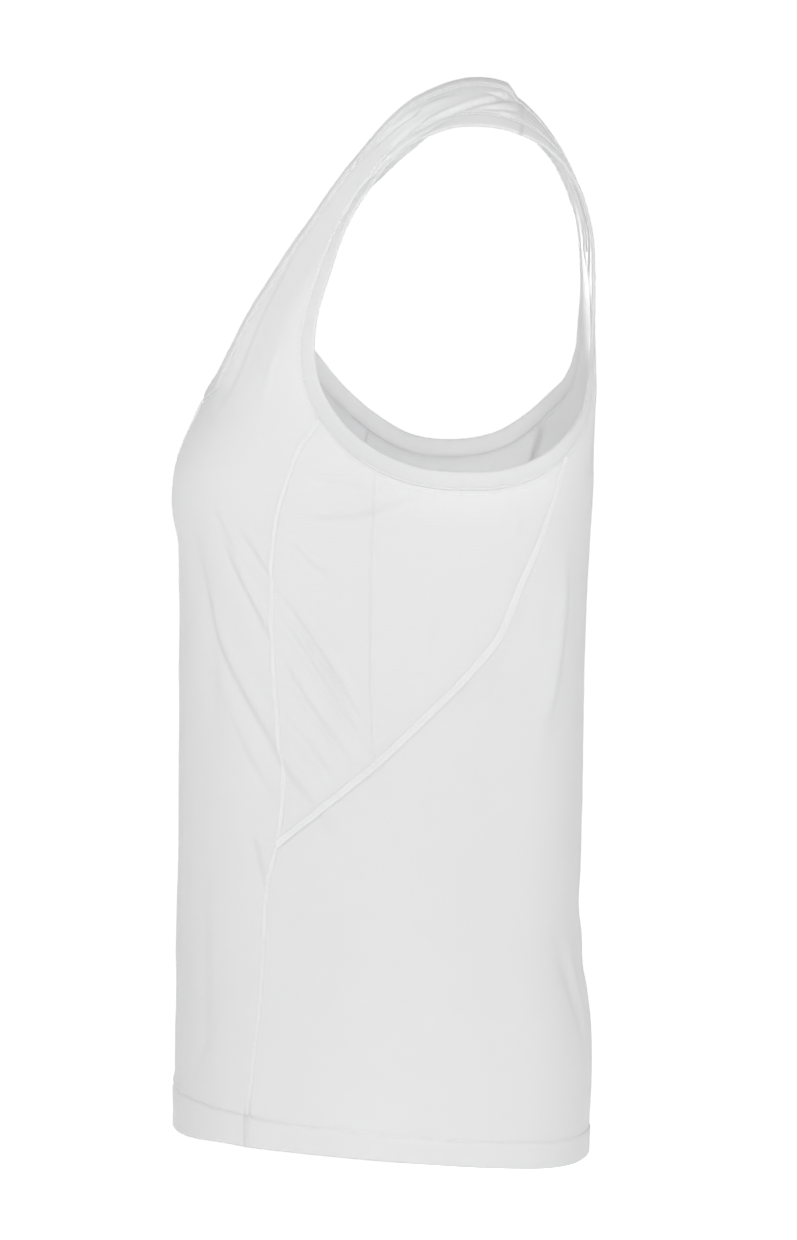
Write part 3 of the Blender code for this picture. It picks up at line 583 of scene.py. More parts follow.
# Folds as seen from the left side: depth (a hollow is negative), half width, and the height of the ridge that
# stands beside it, in millimetres, then the places y, z that they run through from the top down.
sideFolds = [
    (-2.0, 4.5, 1.4, [(-0.1617, -0.2759), (-0.1557, -0.3034), (-0.1421, -0.3358), (-0.1283, -0.3600),
                      (-0.1173, -0.3804), (-0.1035, -0.3980), (-0.0911, -0.4214)]),
    (-1.1, 3.2, 0.3, [(-0.1503, -0.3423), (-0.1421, -0.3639), (-0.1284, -0.3881), (-0.1207, -0.4002)]),
    (-1.7, 3.6, 1.2, [(-0.1524, -0.2504), (-0.1419, -0.2737), (-0.1309, -0.2955), (-0.1238, -0.3105)]),
    (-1.4, 3.0, 0.8, [(-0.1420, -0.2438), (-0.1323, -0.2588), (-0.1240, -0.2725)]),
    (-1.1, 4.0, 0.5, [(-0.1571, -0.2309), (-0.1502, -0.2459), (-0.1419, -0.2623)]),
    (-1.6, 2.5, 0.8, [(-0.1204, -0.2785), (-0.1088, -0.2943), (-0.0923, -0.3190), (-0.0728, -0.3522)]),
    (-1.5, 2.5, 0.6, [(-0.1185, -0.2919), (-0.1061, -0.3110), (-0.0895, -0.3357), (-0.0715, -0.3648)]),
    (-1.4, 2.5, 0.8, [(-0.1172, -0.3172), (-0.1062, -0.3363), (-0.0923, -0.3555), (-0.0812, -0.3734)]),
    (-1.0, 2.6, 0.6, [(-0.1173, -0.3481), (-0.1034, -0.3643), (-0.0896, -0.3835)]),
    (-1.0, 3.0, 0.6, [(-0.1155, -0.2480), (-0.1005, -0.2629), (-0.0894, -0.2716)]),
    (-0.8, 2.8, 0.5, [(-0.1047, -0.2124), (-0.0839, -0.2160), (-0.0678, -0.2177)]),
    (-1.2, 3.4, 0.6, [(-0.1111, -0.2345), (-0.0922, -0.2362), (-0.0728, -0.2341), (-0.0533, -0.2268),
                      (-0.0380, -0.2205)]),
    (3.2, 6.8, 0.0, [(0.0423, -0.2601), (0.0404, -0.2911), (0.0359, -0.3249), (0.0269, -0.3642)]),
    (-0.9, 3.0, 0.3, [(0.0023, -0.3127), (-0.0014, -0.3268), (-0.0042, -0.3423)]),
    (-0.5, 1.5, 0.3, [(0.0083, -0.2193), (0.0089, -0.2353)]),
    (-0.5, 1.5, 0.3, [(0.0140, -0.2194), (0.0152, -0.2481)]),
    (-0.6, 6.0, 0.3, [(-0.0309, -0.2843), (-0.0365, -0.3012), (-0.0407, -0.3182)]),
    (-1.5, 2.4, 0.9, [(-0.1351, -0.4168), (-0.1313, -0.4319), (-0.1280, -0.4470)]),
    (-0.7, 6.0, 0.3, [(-0.1505, -0.5114), (-0.1611, -0.5382), (-0.1693, -0.5620)]),
    (-2.0, 6.0, 0.8, [(0.0392, -0.4794), (0.0505, -0.5142), (0.0576, -0.5456)]),
    (1.0, 4.0, 0.0, [(-0.1186, -0.1375), (-0.1232, -0.1529), (-0.1272, -0.1689)]),
]
# Creases over the strap, likewise, with the places y, z, x.
strapFolds = [
    (-2.4, 1.6, 0.6, [(-0.0450, -0.0195, 0.1150), (-0.0367, -0.0137, 0.1130), (-0.0270, -0.0082, 0.1125),
                      (-0.0168, -0.0043, 0.1120), (-0.0053, -0.0011, 0.1090), (0.0008, -0.0002, 0.1065),
                      (0.0069, 0.0005, 0.1025), (0.0120, 0.0010, 0.0965), (0.0152, 0.0018, 0.0880)]),
    (-1.3, 1.5, 0.3, [(0.0004, 0.0026, 0.0995), (0.0039, 0.0018, 0.1005), (0.0080, 0.0013, 0.0995),
                      (0.0126, 0.0014, 0.0945)]),
    (-1.1, 1.6, 0.4, [(-0.0143, -0.0051, 0.1145), (-0.0084, -0.0046, 0.1150), (-0.0029, -0.0036, 0.1135),
                      (0.0020, -0.0034, 0.1125), (0.0105, -0.0036, 0.1095), (0.0175, -0.0042, 0.1045)]),
    (-1.2, 1.2, 0.5, [(0.0044, -0.0056, 0.1155), (0.0082, -0.0064, 0.1155), (0.0126, -0.0074, 0.1150),
                      (0.0160, -0.0076, 0.1130)]),
    (-1.9, 2.1, 0.6, [(-0.0375, -0.0080, 0.0965), (-0.0414, -0.0107, 0.0965), (-0.0449, -0.0132, 0.0950),
                      (-0.0493, -0.0166, 0.0930), (-0.0534, -0.0204, 0.0910), (-0.0590, -0.0262, 0.0880)]),
    (-1.6, 2.1, 0.5, [(-0.0346, -0.0101, 0.1080), (-0.0410, -0.0142, 0.1080), (-0.0453, -0.0177, 0.1080),
                      (-0.0515, -0.0231, 0.1065), (-0.0570, -0.0290, 0.1050)]),
    (0.9, 3.0, 0.0, [(-0.0391, -0.0088, 0.0955), (-0.0321, -0.0051, 0.0980), (-0.0253, -0.0020, 0.0990),
                     (-0.0179, 0.0004, 0.1005)]),
    (-3.2, 1.7, 0.5, [(-0.0273, -0.0120, 0.1185), (-0.0386, -0.0185, 0.1190), (-0.0507, -0.0278, 0.1170),
                      (-0.0633, -0.0392, 0.1115), (-0.0716, -0.0477, 0.1075), (-0.0790, -0.0600, 0.1080),
                      (-0.0833, -0.0702, 0.1120)]),
]
# Folds of the front as seen from the front, and of the back likewise: x, z.
frontFolds = [
    (-1.7, 13.0, 0.5, [(-0.075, -0.266), (-0.040, -0.258), (0.000, -0.256), (0.040, -0.260)]),
    (-1.3, 9.0, 0.4, [(0.052, -0.235), (0.070, -0.275), (0.082, -0.325), (0.088, -0.370)]),
    (-1.1, 8.0, 0.3, [(-0.058, -0.230), (-0.071, -0.270), (-0.087, -0.322)]),
    (-1.0, 10.0, 0.3, [(0.018, -0.330), (0.026, -0.390), (0.022, -0.450), (0.030, -0.510)]),
    (-0.9, 9.0, 0.3, [(-0.030, -0.350), (-0.034, -0.410), (-0.044, -0.480)]),
    (-0.8, 8.0, 0.2, [(-0.078, -0.420), (-0.084, -0.480), (-0.080, -0.540)]),
    (-0.9, 8.5, 0.3, [(0.080, -0.440), (0.089, -0.500), (0.094, -0.560)]),
    (0.8, 7.0, 0.0, [(-0.008, -0.470), (-0.012, -0.530), (-0.010, -0.575)]),
    (-0.8, 4.5, 0.2, [(0.066, -0.075), (0.072, -0.110), (0.070, -0.150), (0.060, -0.185)]),
    (-0.7, 4.5, 0.2, [(-0.064, -0.085), (-0.071, -0.120), (-0.068, -0.165)]),
    (-0.7, 5.0, 0.2, [(0.030, -0.160), (0.046, -0.176), (0.066, -0.182)]),
    (-0.6, 5.0, 0.2, [(-0.026, -0.164), (-0.044, -0.182), (-0.068, -0.190)]),
]
backFolds = [
    (-1.4, 7.0, 0.4, [(0.012, -0.140), (0.030, -0.165), (0.056, -0.190), (0.092, -0.214)]),
    (-1.2, 7.0, 0.4, [(-0.014, -0.146), (-0.036, -0.174), (-0.062, -0.196), (-0.096, -0.222)]),
    (-1.0, 6.0, 0.3, [(0.020, -0.185), (0.048, -0.216), (0.080, -0.240)]),
    (-0.9, 6.5, 0.3, [(-0.016, -0.190), (-0.040, -0.220), (-0.078, -0.250)]),
    (-0.8, 5.0, 0.2, [(0.006, -0.105), (0.010, -0.130), (0.008, -0.158)]),
    (-1.5, 10.0, 0.4, [(-0.062, -0.452), (-0.026, -0.468), (0.018, -0.471), (0.058, -0.459)]),
    (-1.0, 8.0, 0.3, [(-0.070, -0.492), (-0.036, -0.503), (0.000, -0.506)]),
    (-0.9, 8.0, 0.3, [(0.014, -0.502), (0.048, -0.496), (0.084, -0.482)]),
    (-1.0, 10.0, 0.3, [(-0.092, -0.330), (-0.078, -0.390), (-0.070, -0.440)]),
    (-0.9, 10.0, 0.3, [(0.084, -0.320), (0.076, -0.375), (0.066, -0.430)]),
    (-0.8, 9.0, 0.2, [(-0.050, -0.520), (-0.056, -0.560), (-0.054, -0.590)]),
    (-0.8, 9.0, 0.2, [(0.060, -0.510), (0.070, -0.550), (0.072, -0.588)]),
]


# A fold's flanks and ridge in half widths, how far it fades out at its ends, and how the right side's folds
# differ from the left's: moved as a whole and bend by bend, weaker, and wider.
foldShape = {
    "reach": 4.2, "steepFlank": 0.8, "softFlank": 1.3, "ridgeAt": 1.7, "ridgeWidth": 0.95,
    "fadeShare": 0.25, "endDepth": 0.2, "endWidth": 1.6,
    "seed": 5, "weakest": 0.6, "narrowest": 0.9,
}
bodyTwins = {"moved": 0.0035, "bent": 0.0012, "widest": 1.25}
strapTwins = {"moved": 0.0015, "bent": 0.0006, "widest": 1.2}


# 1 in the middle, and almost nothing two widths away from it
def swell(at, width, middle=0):
    return np.exp(-(((at - middle) / width) ** 2))


def ramp(at, start, length):
    return np.clip((at - start) / length, 0, 1)


class Fold:
    def __init__(self, depth, width, ridge, points, hand=1):
        points = np.asarray(points)
        far = along(points)
        at = np.linspace(0, far[-1], fineness["foldSteps"])
        self.line = Line(np.stack([smooth(at, far, points[:, k]) for k in range(3)], axis=1))
        self.depth, self.width, self.ridge, self.hand = depth / 1000, width / 1000, ridge / 1000, hand

    # a hollow with one steep flank, and a lower ridge along that flank
    def lift(self, points, normals):
        close, off, side, far, past = self.line.near(points, foldShape["reach"] * self.width, normals)
        t = -off * side * self.hand / self.width
        share = np.clip(far / self.line.length, 0, 1)
        fade = eased(np.minimum(share, 1 - share) / foldShape["fadeShare"])
        fade = foldShape["endDepth"] + (1 - foldShape["endDepth"]) * fade
        fade *= swell(past, foldShape["endWidth"] * self.width)
        hollow = swell(t, np.where(t > 0, foldShape["steepFlank"], foldShape["softFlank"]))
        ridge = swell(t, foldShape["ridgeWidth"], foldShape["ridgeAt"])
        return close, fade * (self.depth * hollow + self.ridge * ridge)


def allFolds():
    rng = np.random.default_rng(foldShape["seed"])
    folds = []

    def addPair(depth, width, ridge, points, twin, widest):
        folds.append(Fold(depth, width, ridge, points))
        weaker, wider = rng.uniform(foldShape["weakest"], 1.0), rng.uniform(foldShape["narrowest"], widest)
        folds.append(Fold(depth * weaker, width * wider, ridge * weaker, twin * flip, -1))

    for *shape, rows in sideFolds:
        moved = np.array(rows) + rng.normal(0, bodyTwins["moved"], 2)
        moved = moved + rng.normal(0, bodyTwins["bent"], moved.shape)
        addPair(*shape, fromSide(rows), fromSide(moved), bodyTwins["widest"])
    for *shape, rows in strapFolds:
        points = settle(np.array([(x, y, z) for y, z, x in rows]))
        moved = points + rng.normal(0, strapTwins["moved"], 3)
        moved = settle(moved + rng.normal(0, strapTwins["bent"], points.shape))
        addPair(*shape, points, moved, strapTwins["widest"])
    for rows, atBack in ((frontFolds, False), (backFolds, True)):
        folds += [Fold(*shape, fromFace(line, atBack)) for *shape, line in rows]
    return folds


folds = allFolds()
seamLines = {}
for sideName, plan in plans.items():
    seamLines[sideName] = {name: Line(getattr(plan, name), sideName)
                           for name in ("shoulder", "sideFront", "slant", "side")}
    seamLines[sideName]["armhole"] = Line(plan.ring, sideName, closed=True)
neckLeft = plans["left"].neck
neckRing = joined(neckLeft, (neckLeft * np.tile(flip, 2))[::-1])
seamLines["left"]["neck"] = Line(neckRing, closed=True)
print("folds laid out")

# How the cloth lies at each seam, in metres: height and half width of the flat ridge over the seam, how soft
# its edges are, the dip beside it (its place, depth and half width), and the small gathers along it.
seamColumns = ("height", "width", "edge", "dipAt", "dip", "dipWidth", "gather", "pitch")
seamRows = {
    "armhole": (0.0, 0.0030, 0.0006, 0.0, 0.00035, 0.0009, 0.00020, 0.0078),
    "neck": (0.0, 0.0030, 0.0006, 0.0, 0.00075, 0.0017, 0.00018, 0.0085),
    "shoulder": (0.00035, 0.0018, 0.0003, 0.0, 0.0, 0.001, 0.00012, 0.0060),
    "sideFront": (0.00035, 0.0014, 0.0003, -0.0021, 0.00018, 0.0007, 0.00014, 0.0090),
    "slant": (0.00045, 0.0023, 0.0003, 0.0030, 0.00025, 0.0007, 0.00010, 0.0064),
    "side": (0.00028, 0.0010, 0.0003, -0.0002, 0.00045, 0.0006, 0.00008, 0.0080),
}
seamShapes = {name: dict(zip(seamColumns, row)) for name, row in seamRows.items()}
# How far a seam is felt, how wide its gathers are, how they fade where a ring closes, how it ends, and how
# much the ridge calms the gathers.
seamReach = {"far": 0.022, "gatherWidth": 0.0075, "joinBlend": 0.010, "endBlend": 0.002, "calm": 0.6}
gatherWaves = {"slowPitch": 5.3, "wander": 1.9, "fadePitch": 3.7, "steady": 0.55, "uneven": 0.45}
hemShape = {
    "band": 0.00045, "bandEdge": 0.0003, "wallEdge": 0.00035, "roundOff": 0.0008, "thinnest": 0.3,
    "reach": 0.06,
    "line": 0.00070, "lineWidth": 0.0007,  # the hollow of the stitch line
    "ripple": 0.00030, "pitch": 0.0060, "rippleAt": -0.002, "rippleWidth": 0.0075, "phase": 1.3,
    "roll": 0.0004, "rollWidth": 0.02, "rollWaves": 61, "rollPhase": 0.7,
    "puff": 0.0012, "puffAt": 0.0022, "puffWidth": 0.0019, "puffFrom": 0.165, "puffBlend": 0.012,
    "backShare": 0.45, "frontGain": 0.75, "gainFrom": 0.06, "gainBlend": 0.08,  # stronger towards the front
    "middleY": -0.055, "radius": 0.15,
}
# The hem's stitch line, y and z.
stitchRows = np.array([
    (-0.1800, -0.5725), (-0.1712, -0.5727), (-0.1562, -0.5741), (-0.1391, -0.5759), (-0.1184, -0.5783),
    (-0.0841, -0.5809), (-0.0496, -0.5845), (-0.0143, -0.5871), (0.0212, -0.5903), (0.0382, -0.5923),
    (0.0490, -0.5928), (0.0640, -0.5940),
])


# how far points lie above the hem's stitch line, and above its edge
def hemPlaces(points):
    y, z = points[:, 1], points[:, 2]
    return z - smooth(y, stitchRows[:, 0], stitchRows[:, 1]), z - hemZ(y)


# 1 below 0 and nothing above it, with a soft edge
def band(at, edge):
    return 1 / (1 + np.exp(np.clip(at / edge, -60, 60)))


def outwardAt(points):
    found = outward(np.column_stack([np.abs(points[:, 0]), points[:, 1:]]))
    found[:, 0] *= np.sign(points[:, 0])
    return unit(found)


# uneven waves along a seam
def gathers(far, pitch, phase):
    slow = np.sin(far / (pitch * gatherWaves["slowPitch"]) * 2 * math.pi + phase)
    wave = np.sin(far / pitch * 2 * math.pi + gatherWaves["wander"] * slow + phase * 3)
    fade = np.sin(far / (pitch * gatherWaves["fadePitch"]) * 2 * math.pi + phase * 2)
    return wave * (gatherWaves["steady"] + gatherWaves["uneven"] * fade)


def seamLift(points, normals, names):
    total = np.zeros(len(points))
    for number, (hand, lines) in enumerate(zip((1, -1), seamLines.values())):
        for name in [name for name in names if name in lines]:
            shape, line = seamShapes[name], lines[name]
            close, off, way, far, past = line.near(points, seamReach["far"], normals)
            ridge = band(off - shape["width"], shape["edge"])
            dip = swell(off * way * hand, shape["dipWidth"], shape["dipAt"])
            wave = gathers(far, shape["pitch"], number + len(name)) * swell(off, seamReach["gatherWidth"])
            if line.closed:
                wave *= eased(np.minimum(far, line.length - far) / seamReach["joinBlend"])
            lift = shape["height"] * ridge - shape["dip"] * dip
            lift += shape["gather"] * wave * (1 - seamReach["calm"] * ridge)
            np.add.at(total, close, lift * swell(past, seamReach["endBlend"]))
    return total


def hemLift(points):
    over, up = hemPlaces(points)
    forward = -points[:, 1]
    far = np.arctan2(points[:, 0], forward + hemShape["middleY"]) * hemShape["radius"]
    line = swell(over, hemShape["lineWidth"])
    ripple = gathers(far, hemShape["pitch"], hemShape["phase"])
    ripple = ripple * swell(over, hemShape["rippleWidth"], hemShape["rippleAt"])
    roll = np.sin(far * hemShape["rollWaves"] + hemShape["rollPhase"]) * swell(up, hemShape["rollWidth"])
    puff = swell(over, hemShape["puffWidth"], hemShape["puffAt"])
    puff = puff * ramp(forward, hemShape["puffFrom"], hemShape["puffBlend"])
    lift = hemShape["band"] * band(over, hemShape["bandEdge"]) - hemShape["line"] * line
    lift += hemShape["ripple"] * ripple
    gain = ramp(forward, hemShape["gainFrom"], hemShape["gainBlend"])
    lift *= hemShape["backShare"] + hemShape["frontGain"] * gain
    lift = lift + roll * hemShape["roll"] + puff * hemShape["puff"]
    return np.where(up < hemShape["reach"], lift, 0)


# broad and small unevenness of the hanging cloth
drape = {"coarse": 0.00055, "fine": 0.00018, "coarseSize": 0.055, "fineSize": 0.014}


def drapeLift(points):
    coarse, fine = (np.array([noise.noise(Vector(point) / drape[size]) for point in points])
                    for size in ("coarseSize", "fineSize"))
    return drape["coarse"] * coarse + drape["fine"] * fine


def foldLift(points, normals):
    total = np.zeros(len(points))
    for fold in folds:
        close, lift = fold.lift(points, normals)
        np.add.at(total, close, lift)
    return total


# how far the folded, sewn cloth lies off the form
def clothLift(points, normals, seamNames):
    lift = standLift(points) + foldLift(points, normals) + drapeLift(points)
    return lift + seamLift(points, normals, seamNames)


def dressed(points, normals, seamNames, withHem):
    lift = clothLift(points, normals, seamNames)
    if withHem:
        lift = lift + hemLift(points)
    return points + lift[:, None] * normals


def facesInward(grid):
    row, column = grid.shape[0] // 2, grid.shape[1] // 2
    corner = grid[row, column]
    normal = np.cross(grid[row, column + 1] - corner, grid[row + 1, column] - corner)
    return (normal * outwardAt(corner[None])[0]).sum() < 0


def gridFaces(rows, columns, first, flip):
    low = first + (np.arange(rows - 1)[:, None] * columns + np.arange(columns - 1)[None]).ravel()
    faces = np.stack([low, low + 1, low + columns + 1, low + columns], axis=1)
    return faces[:, ::-1] if flip else faces


def meshFrom(name, points, faces, cuts=None):
    mesh = bpy.data.meshes.new(name)
    mesh.from_pydata([tuple(point) for point in points], [], [tuple(int(i) for i in face) for face in faces])
    if cuts is not None:
        layer = mesh.uv_layers.new(name="cut")
        order = np.empty(len(mesh.loops), int)
        mesh.loops.foreach_get("vertex_index", order)
        layer.data.foreach_set("uv", np.asarray(cuts, float)[order].ravel())
    mesh.validate()
    mesh.update()
    return mesh


def linked(name, data):
    made = bpy.data.objects.new(name, data)
    bpy.context.scene.collection.objects.link(made)
    return made


walls = {"cloth": 0.0010, "hem": 0.0021}


# a sheet of cloth from grids of points and their cuts, welded where they meet and given a wall
def clothPiece(name, sheets, seamNames, withHem=False):
    points, faces, cuts, first = [], [], [], 0
    for grid, cut in sheets:
        rows, columns = grid.shape[:2]
        faces.append(gridFaces(rows, columns, first, facesInward(grid)))
        points.append(grid.reshape(-1, 3))
        cuts.append(cut.reshape(-1, 2))
        first += rows * columns
    base = np.concatenate(points)
    moved = dressed(base, outwardAt(base), seamNames, withHem)
    mesh = meshFrom(name, moved, np.concatenate(faces), np.concatenate(cuts))
    shape = bmesh.new()
    shape.from_mesh(mesh)
    if withHem:
        over, up = hemPlaces(base)
        edge = 1 - (1 - ramp(up, 0, hemShape["roundOff"])) ** 2
        wall = walls["cloth"] + (walls["hem"] - walls["cloth"]) * band(over, hemShape["wallEdge"])
        weights = wall * np.sqrt(np.clip(edge, hemShape["thinnest"], 1)) / walls["hem"]
        layer = shape.verts.layers.deform.verify()
        for vert, weight in zip(shape.verts, weights):
            vert[layer][0] = float(weight)
    bmesh.ops.remove_doubles(shape, verts=shape.verts, dist=fineness["same"])
    for face in shape.faces:
        face.smooth = True
    for edge in shape.edges:
        edge.smooth = not edge.is_boundary
    shape.to_mesh(mesh)
    shape.free()
    piece = linked(name, mesh)
    solid = piece.modifiers.new("wall", "SOLIDIFY")
    solid.thickness = walls["hem" if withHem else "cloth"]
    solid.offset = 0
    if withHem:
        piece.vertex_groups.new(name="turnUp")
        solid.vertex_group = "turnUp"
    return piece


# The tape's section: distance from its folded edge and height over the form, in millimetres, outside and then
# inside.
tapeSection = [
    (0.00, 0.00), (0.06, 0.42), (0.30, 0.82), (0.75, 1.08), (1.50, 1.20), (2.80, 1.22), (4.40, 1.20),
    (6.00, 1.18), (7.40, 1.16), (8.50, 1.12), (9.00, 0.98), (9.40, 0.84), (9.80, 0.98), (10.20, 1.00),
    (10.45, 0.84), (10.55, 0.55), (10.55, -0.35), (10.30, -0.60), (9.60, -0.66), (8.80, -0.78), (7.00, -0.88),
    (4.60, -0.92), (2.40, -0.92), (1.00, -0.84), (0.36, -0.62), (0.08, -0.32),
]
tapeShape = {
    "spacing": 0.0015, "across": 0.00065, "joinSpacing": 0.0004, "joinReach": 0.004, "joinDepth": 0.0004,
    "joinWidth": 0.0005, "gather": 0.00018, "pitch": 0.0062, "gatherAt": 0.0085, "gatherWidth": 0.004,
    "stitchAt": 0.0095, "stitchHeight": 0.0009, "besideAt": 0.0129,
}


# stations along a tape, closer together where its ends are joined
def tapeStations(length, join):
    steps = [0.0]
    while steps[-1] < length:
        near = min(abs(steps[-1] - join), abs(steps[-1] + length - join)) < tapeShape["joinReach"]
        steps.append(steps[-1] + tapeShape["joinSpacing" if near else "spacing"])
    return np.array(steps[:-1]) / length


# the section with points put in between, so that no step is longer than the spacing
def closeSection(rows, spacing):
    ring = np.concatenate([rows, rows[:1]])
    found = []
    for start, end in zip(ring[:-1], ring[1:]):
        parts = max(1, int(np.ceil(np.linalg.norm(end - start) / spacing)))
        found += [start + (end - start) * k / parts for k in range(parts)]
    return np.array(found)


# a folded tape over the edge of a seam: line holds the seam's points and the edge's, and join is the share of
# its length where its ends meet
class Tape:
    def __init__(self, name, line, join, seamName):
        self.name, self.line, self.seamName = name, line, seamName
        self.length = along(line)[-1]
        self.join = join * self.length

    # the form's points at places across and along the tape
    def onForm(self, across, far):
        rows = sampled(self.line, far / self.length)
        flat = between(rows[:, 3:], rows[:, :3], (across / body["bindingWidth"])[:, None])
        mirror = np.where(flat[:, :1] < 0, flip, 1)
        return settle(flat * mirror) * mirror

    # points at a height over the form, and the way out of the cloth there
    def points(self, across, far, height):
        base = self.onForm(across, far)
        normals = outwardAt(base)
        puff = gathers(far, tapeShape["pitch"], len(self.name))
        puff *= swell(across, tapeShape["gatherWidth"], tapeShape["gatherAt"])
        puff *= eased(np.minimum(far, self.length - far) / seamReach["joinBlend"])
        apart = np.minimum(np.abs(far - self.join), self.length - np.abs(far - self.join))
        notch = tapeShape["joinDepth"] * swell(apart, tapeShape["joinWidth"])
        lift = clothLift(base, normals, (self.seamName,))
        lift += height + np.where(height > 0, tapeShape["gather"] * puff - notch, 0)
        return base + lift[:, None] * normals, normals

    def piece(self):
        section = closeSection(np.array(tapeSection) / 1000, tapeShape["across"])
        far = tapeStations(self.length, self.join)
        count, around = len(far), len(section)
        across = np.tile(section[:, 0], count)
        farAll = np.repeat(far, around)
        points, normals = self.points(across, farAll, np.tile(section[:, 1], count))
        index = np.arange(count)[:, None] * around + np.arange(around)[None]
        ahead, beside = np.roll(index, -1, axis=0), np.roll(index, -1, axis=1)
        faces = np.stack([index, beside, np.roll(ahead, -1, axis=1), ahead], axis=-1).reshape(-1, 4)
        spot = around // 5  # a place on the outside, to see which way the faces look
        here, side, up = index[0, spot], beside[0, spot], ahead[0, spot]
        if (np.cross(points[side] - points[here], points[up] - points[here]) * normals[here]).sum() < 0:
            faces = faces[:, ::-1]
        mesh = meshFrom(self.name, points, faces, np.stack([across, farAll], axis=1))
        mesh.shade_smooth()
        return linked(self.name, mesh)


# Stitching threads, in metres: how far apart the stitches lie, the thread's radius, how it dives and rises,
# and the half width of a flat seam's cover.
threadShapes = {
    "topStitch": {"pitch": 0.0030, "radius": 0.00020, "sunk": 0.00012, "raised": 0.00018},
    "hemStitch": {"pitch": 0.0032, "radius": 0.00022, "sunk": 0.00020, "raised": 0.00010},
    "slant": {"pitch": 0.00140, "radius": 0.00018, "cover": 0.0022, "raised": 0.00010},
    "sideFront": {"pitch": 0.00150, "radius": 0.00015, "cover": 0.0013, "raised": 0.00007},
}
# one stitch and one loop of a cover: shares of the length, place across, and height
stitch = {"at": [0.04, 0.16, 0.5, 0.84, 0.96], "arch": np.array([-1, 0.6, 1, 0.6, -1]), "edgeRow": 0.8}
loop = {"at": [0.0, 0.18, 0.32, 0.5, 0.68, 0.82], "across": np.array([-1, -0.5, 0.5, 1, 0.5, -0.5]),
        "height": np.array([0.2, 1, 1, 0.2, 0.6, 0.6]), "lower": 0.8}
hemOval = {"halfWidth": 0.17, "halfDepth": 0.118, "middleY": -0.058, "z": -0.59}


# places along a row of stitches, a row of numbers for each stitch
def stitchPlaces(length, pitch, shares):
    count = int(length / pitch)
    return (np.arange(count)[:, None] + shares) * (length / count)


# places along and heights of the stitches of one row
def stitchRow(length, shape):
    far, arch = stitchPlaces(length, shape["pitch"], stitch["at"]), stitch["arch"]
    height = np.where(arch > 0, arch * shape["raised"], arch * shape["sunk"])
    return far, np.tile(height, (len(far), 1))


# threads of crossing loops over a flat seam: place along, place across and height
def coverRows(length, shape):
    far = stitchPlaces(length, shape["pitch"], loop["at"])
    across = np.tile(loop["across"] * shape["cover"], len(far))
    height = np.tile(loop["height"] * shape["raised"], len(far))
    return [(far.ravel(), across, height), (far.ravel(), -across, height * loop["lower"])]


# points of the dressed cloth's face at places along and across a seam of one side
def overSeam(side, seamName, far, across, height):
    line = seamLines["left"][seamName]
    points, runs = (np.stack([np.interp(far, line.far, table[:, k]) for k in range(3)], axis=-1)
                    for table in (line.points, line.run))
    base = settle(points + across[..., None] * unit(np.cross(runs, outward(points))))
    return onCloth(base * (flip if side == "right" else 1), height)


def onCloth(base, height, withHem=False):
    flat = base.reshape(-1, 3)
    normals = outwardAt(flat)
    lift = height.ravel() + walls["hem" if withHem else "cloth"] / 2
    points = dressed(flat, normals, seamShapes, withHem) + lift[:, None] * normals
    return points.reshape(base.shape), normals.reshape(base.shape)


# round threads through rows of points, closed at both ends
def threadFaces(rows, ups, radius, first):
    sides = 4
    run = np.gradient(rows, axis=1)
    aside = unit(np.cross(run, ups))
    up = unit(np.cross(aside, run))
    turn = np.arange(sides) * 2 * math.pi / sides
    ring = np.cos(turn)[:, None] * up[:, :, None] + np.sin(turn)[:, None] * aside[:, :, None]
    points = rows[:, :, None] + radius * ring
    index = first + np.arange(points.shape[0] * points.shape[1] * sides).reshape(points.shape[:3])
    beside = np.roll(index, -1, axis=2)
    tube = np.stack([index[:, :-1], beside[:, :-1], beside[:, 1:], index[:, 1:]], axis=-1).reshape(-1, 4)
    return points.reshape(-1, 3), [*tube.tolist(), *index[:, 0, ::-1].tolist(), *index[:, -1].tolist()]


def threadPiece(name, bundles, radius):
    points, faces, first = [], [], 0
    for rows, ups in bundles:
        found, made = threadFaces(rows, ups, radius, first)
        points.append(found)
        faces += made
        first += len(found)
    mesh = meshFrom(name, np.concatenate(points), faces)
    mesh.shade_smooth()
    return linked(name, mesh)


# the cover of a flat seam: looped threads and a row of short stitches near either edge
def coverPiece(name, side, seamName):
    shape, length = threadShapes[seamName], seamLines["left"][seamName].length
    bundles = [overSeam(side, seamName, far[None], across[None], height[None])
               for far, across, height in coverRows(length, shape)]
    far, height = stitchRow(length, {**shape, "pitch": 2 * shape["pitch"], "sunk": shape["raised"]})
    for hand in (-stitch["edgeRow"], stitch["edgeRow"]):
        across = np.full(far.shape, hand * shape["cover"])
        bundles.append(overSeam(side, seamName, far, across, height + shape["raised"]))
    return threadPiece(name, bundles, shape["radius"])


# two rows of stitches along a tape, one on it and one on the cloth beside it
def topStitches(name, tape):
    shape = threadShapes["topStitch"]
    far, height = stitchRow(tape.length, shape)
    onTape, beside = (np.full(far.size, tapeShape[place]) for place in ("stitchAt", "besideAt"))
    bundles = [[found.reshape(*far.shape, 3) for found in
                tape.points(onTape, far.ravel(), height.ravel() + tapeShape["stitchHeight"])]]
    bundles.append(onCloth(tape.onForm(beside, far.ravel()).reshape(*far.shape, 3), height))
    return threadPiece(name, bundles, shape["radius"])


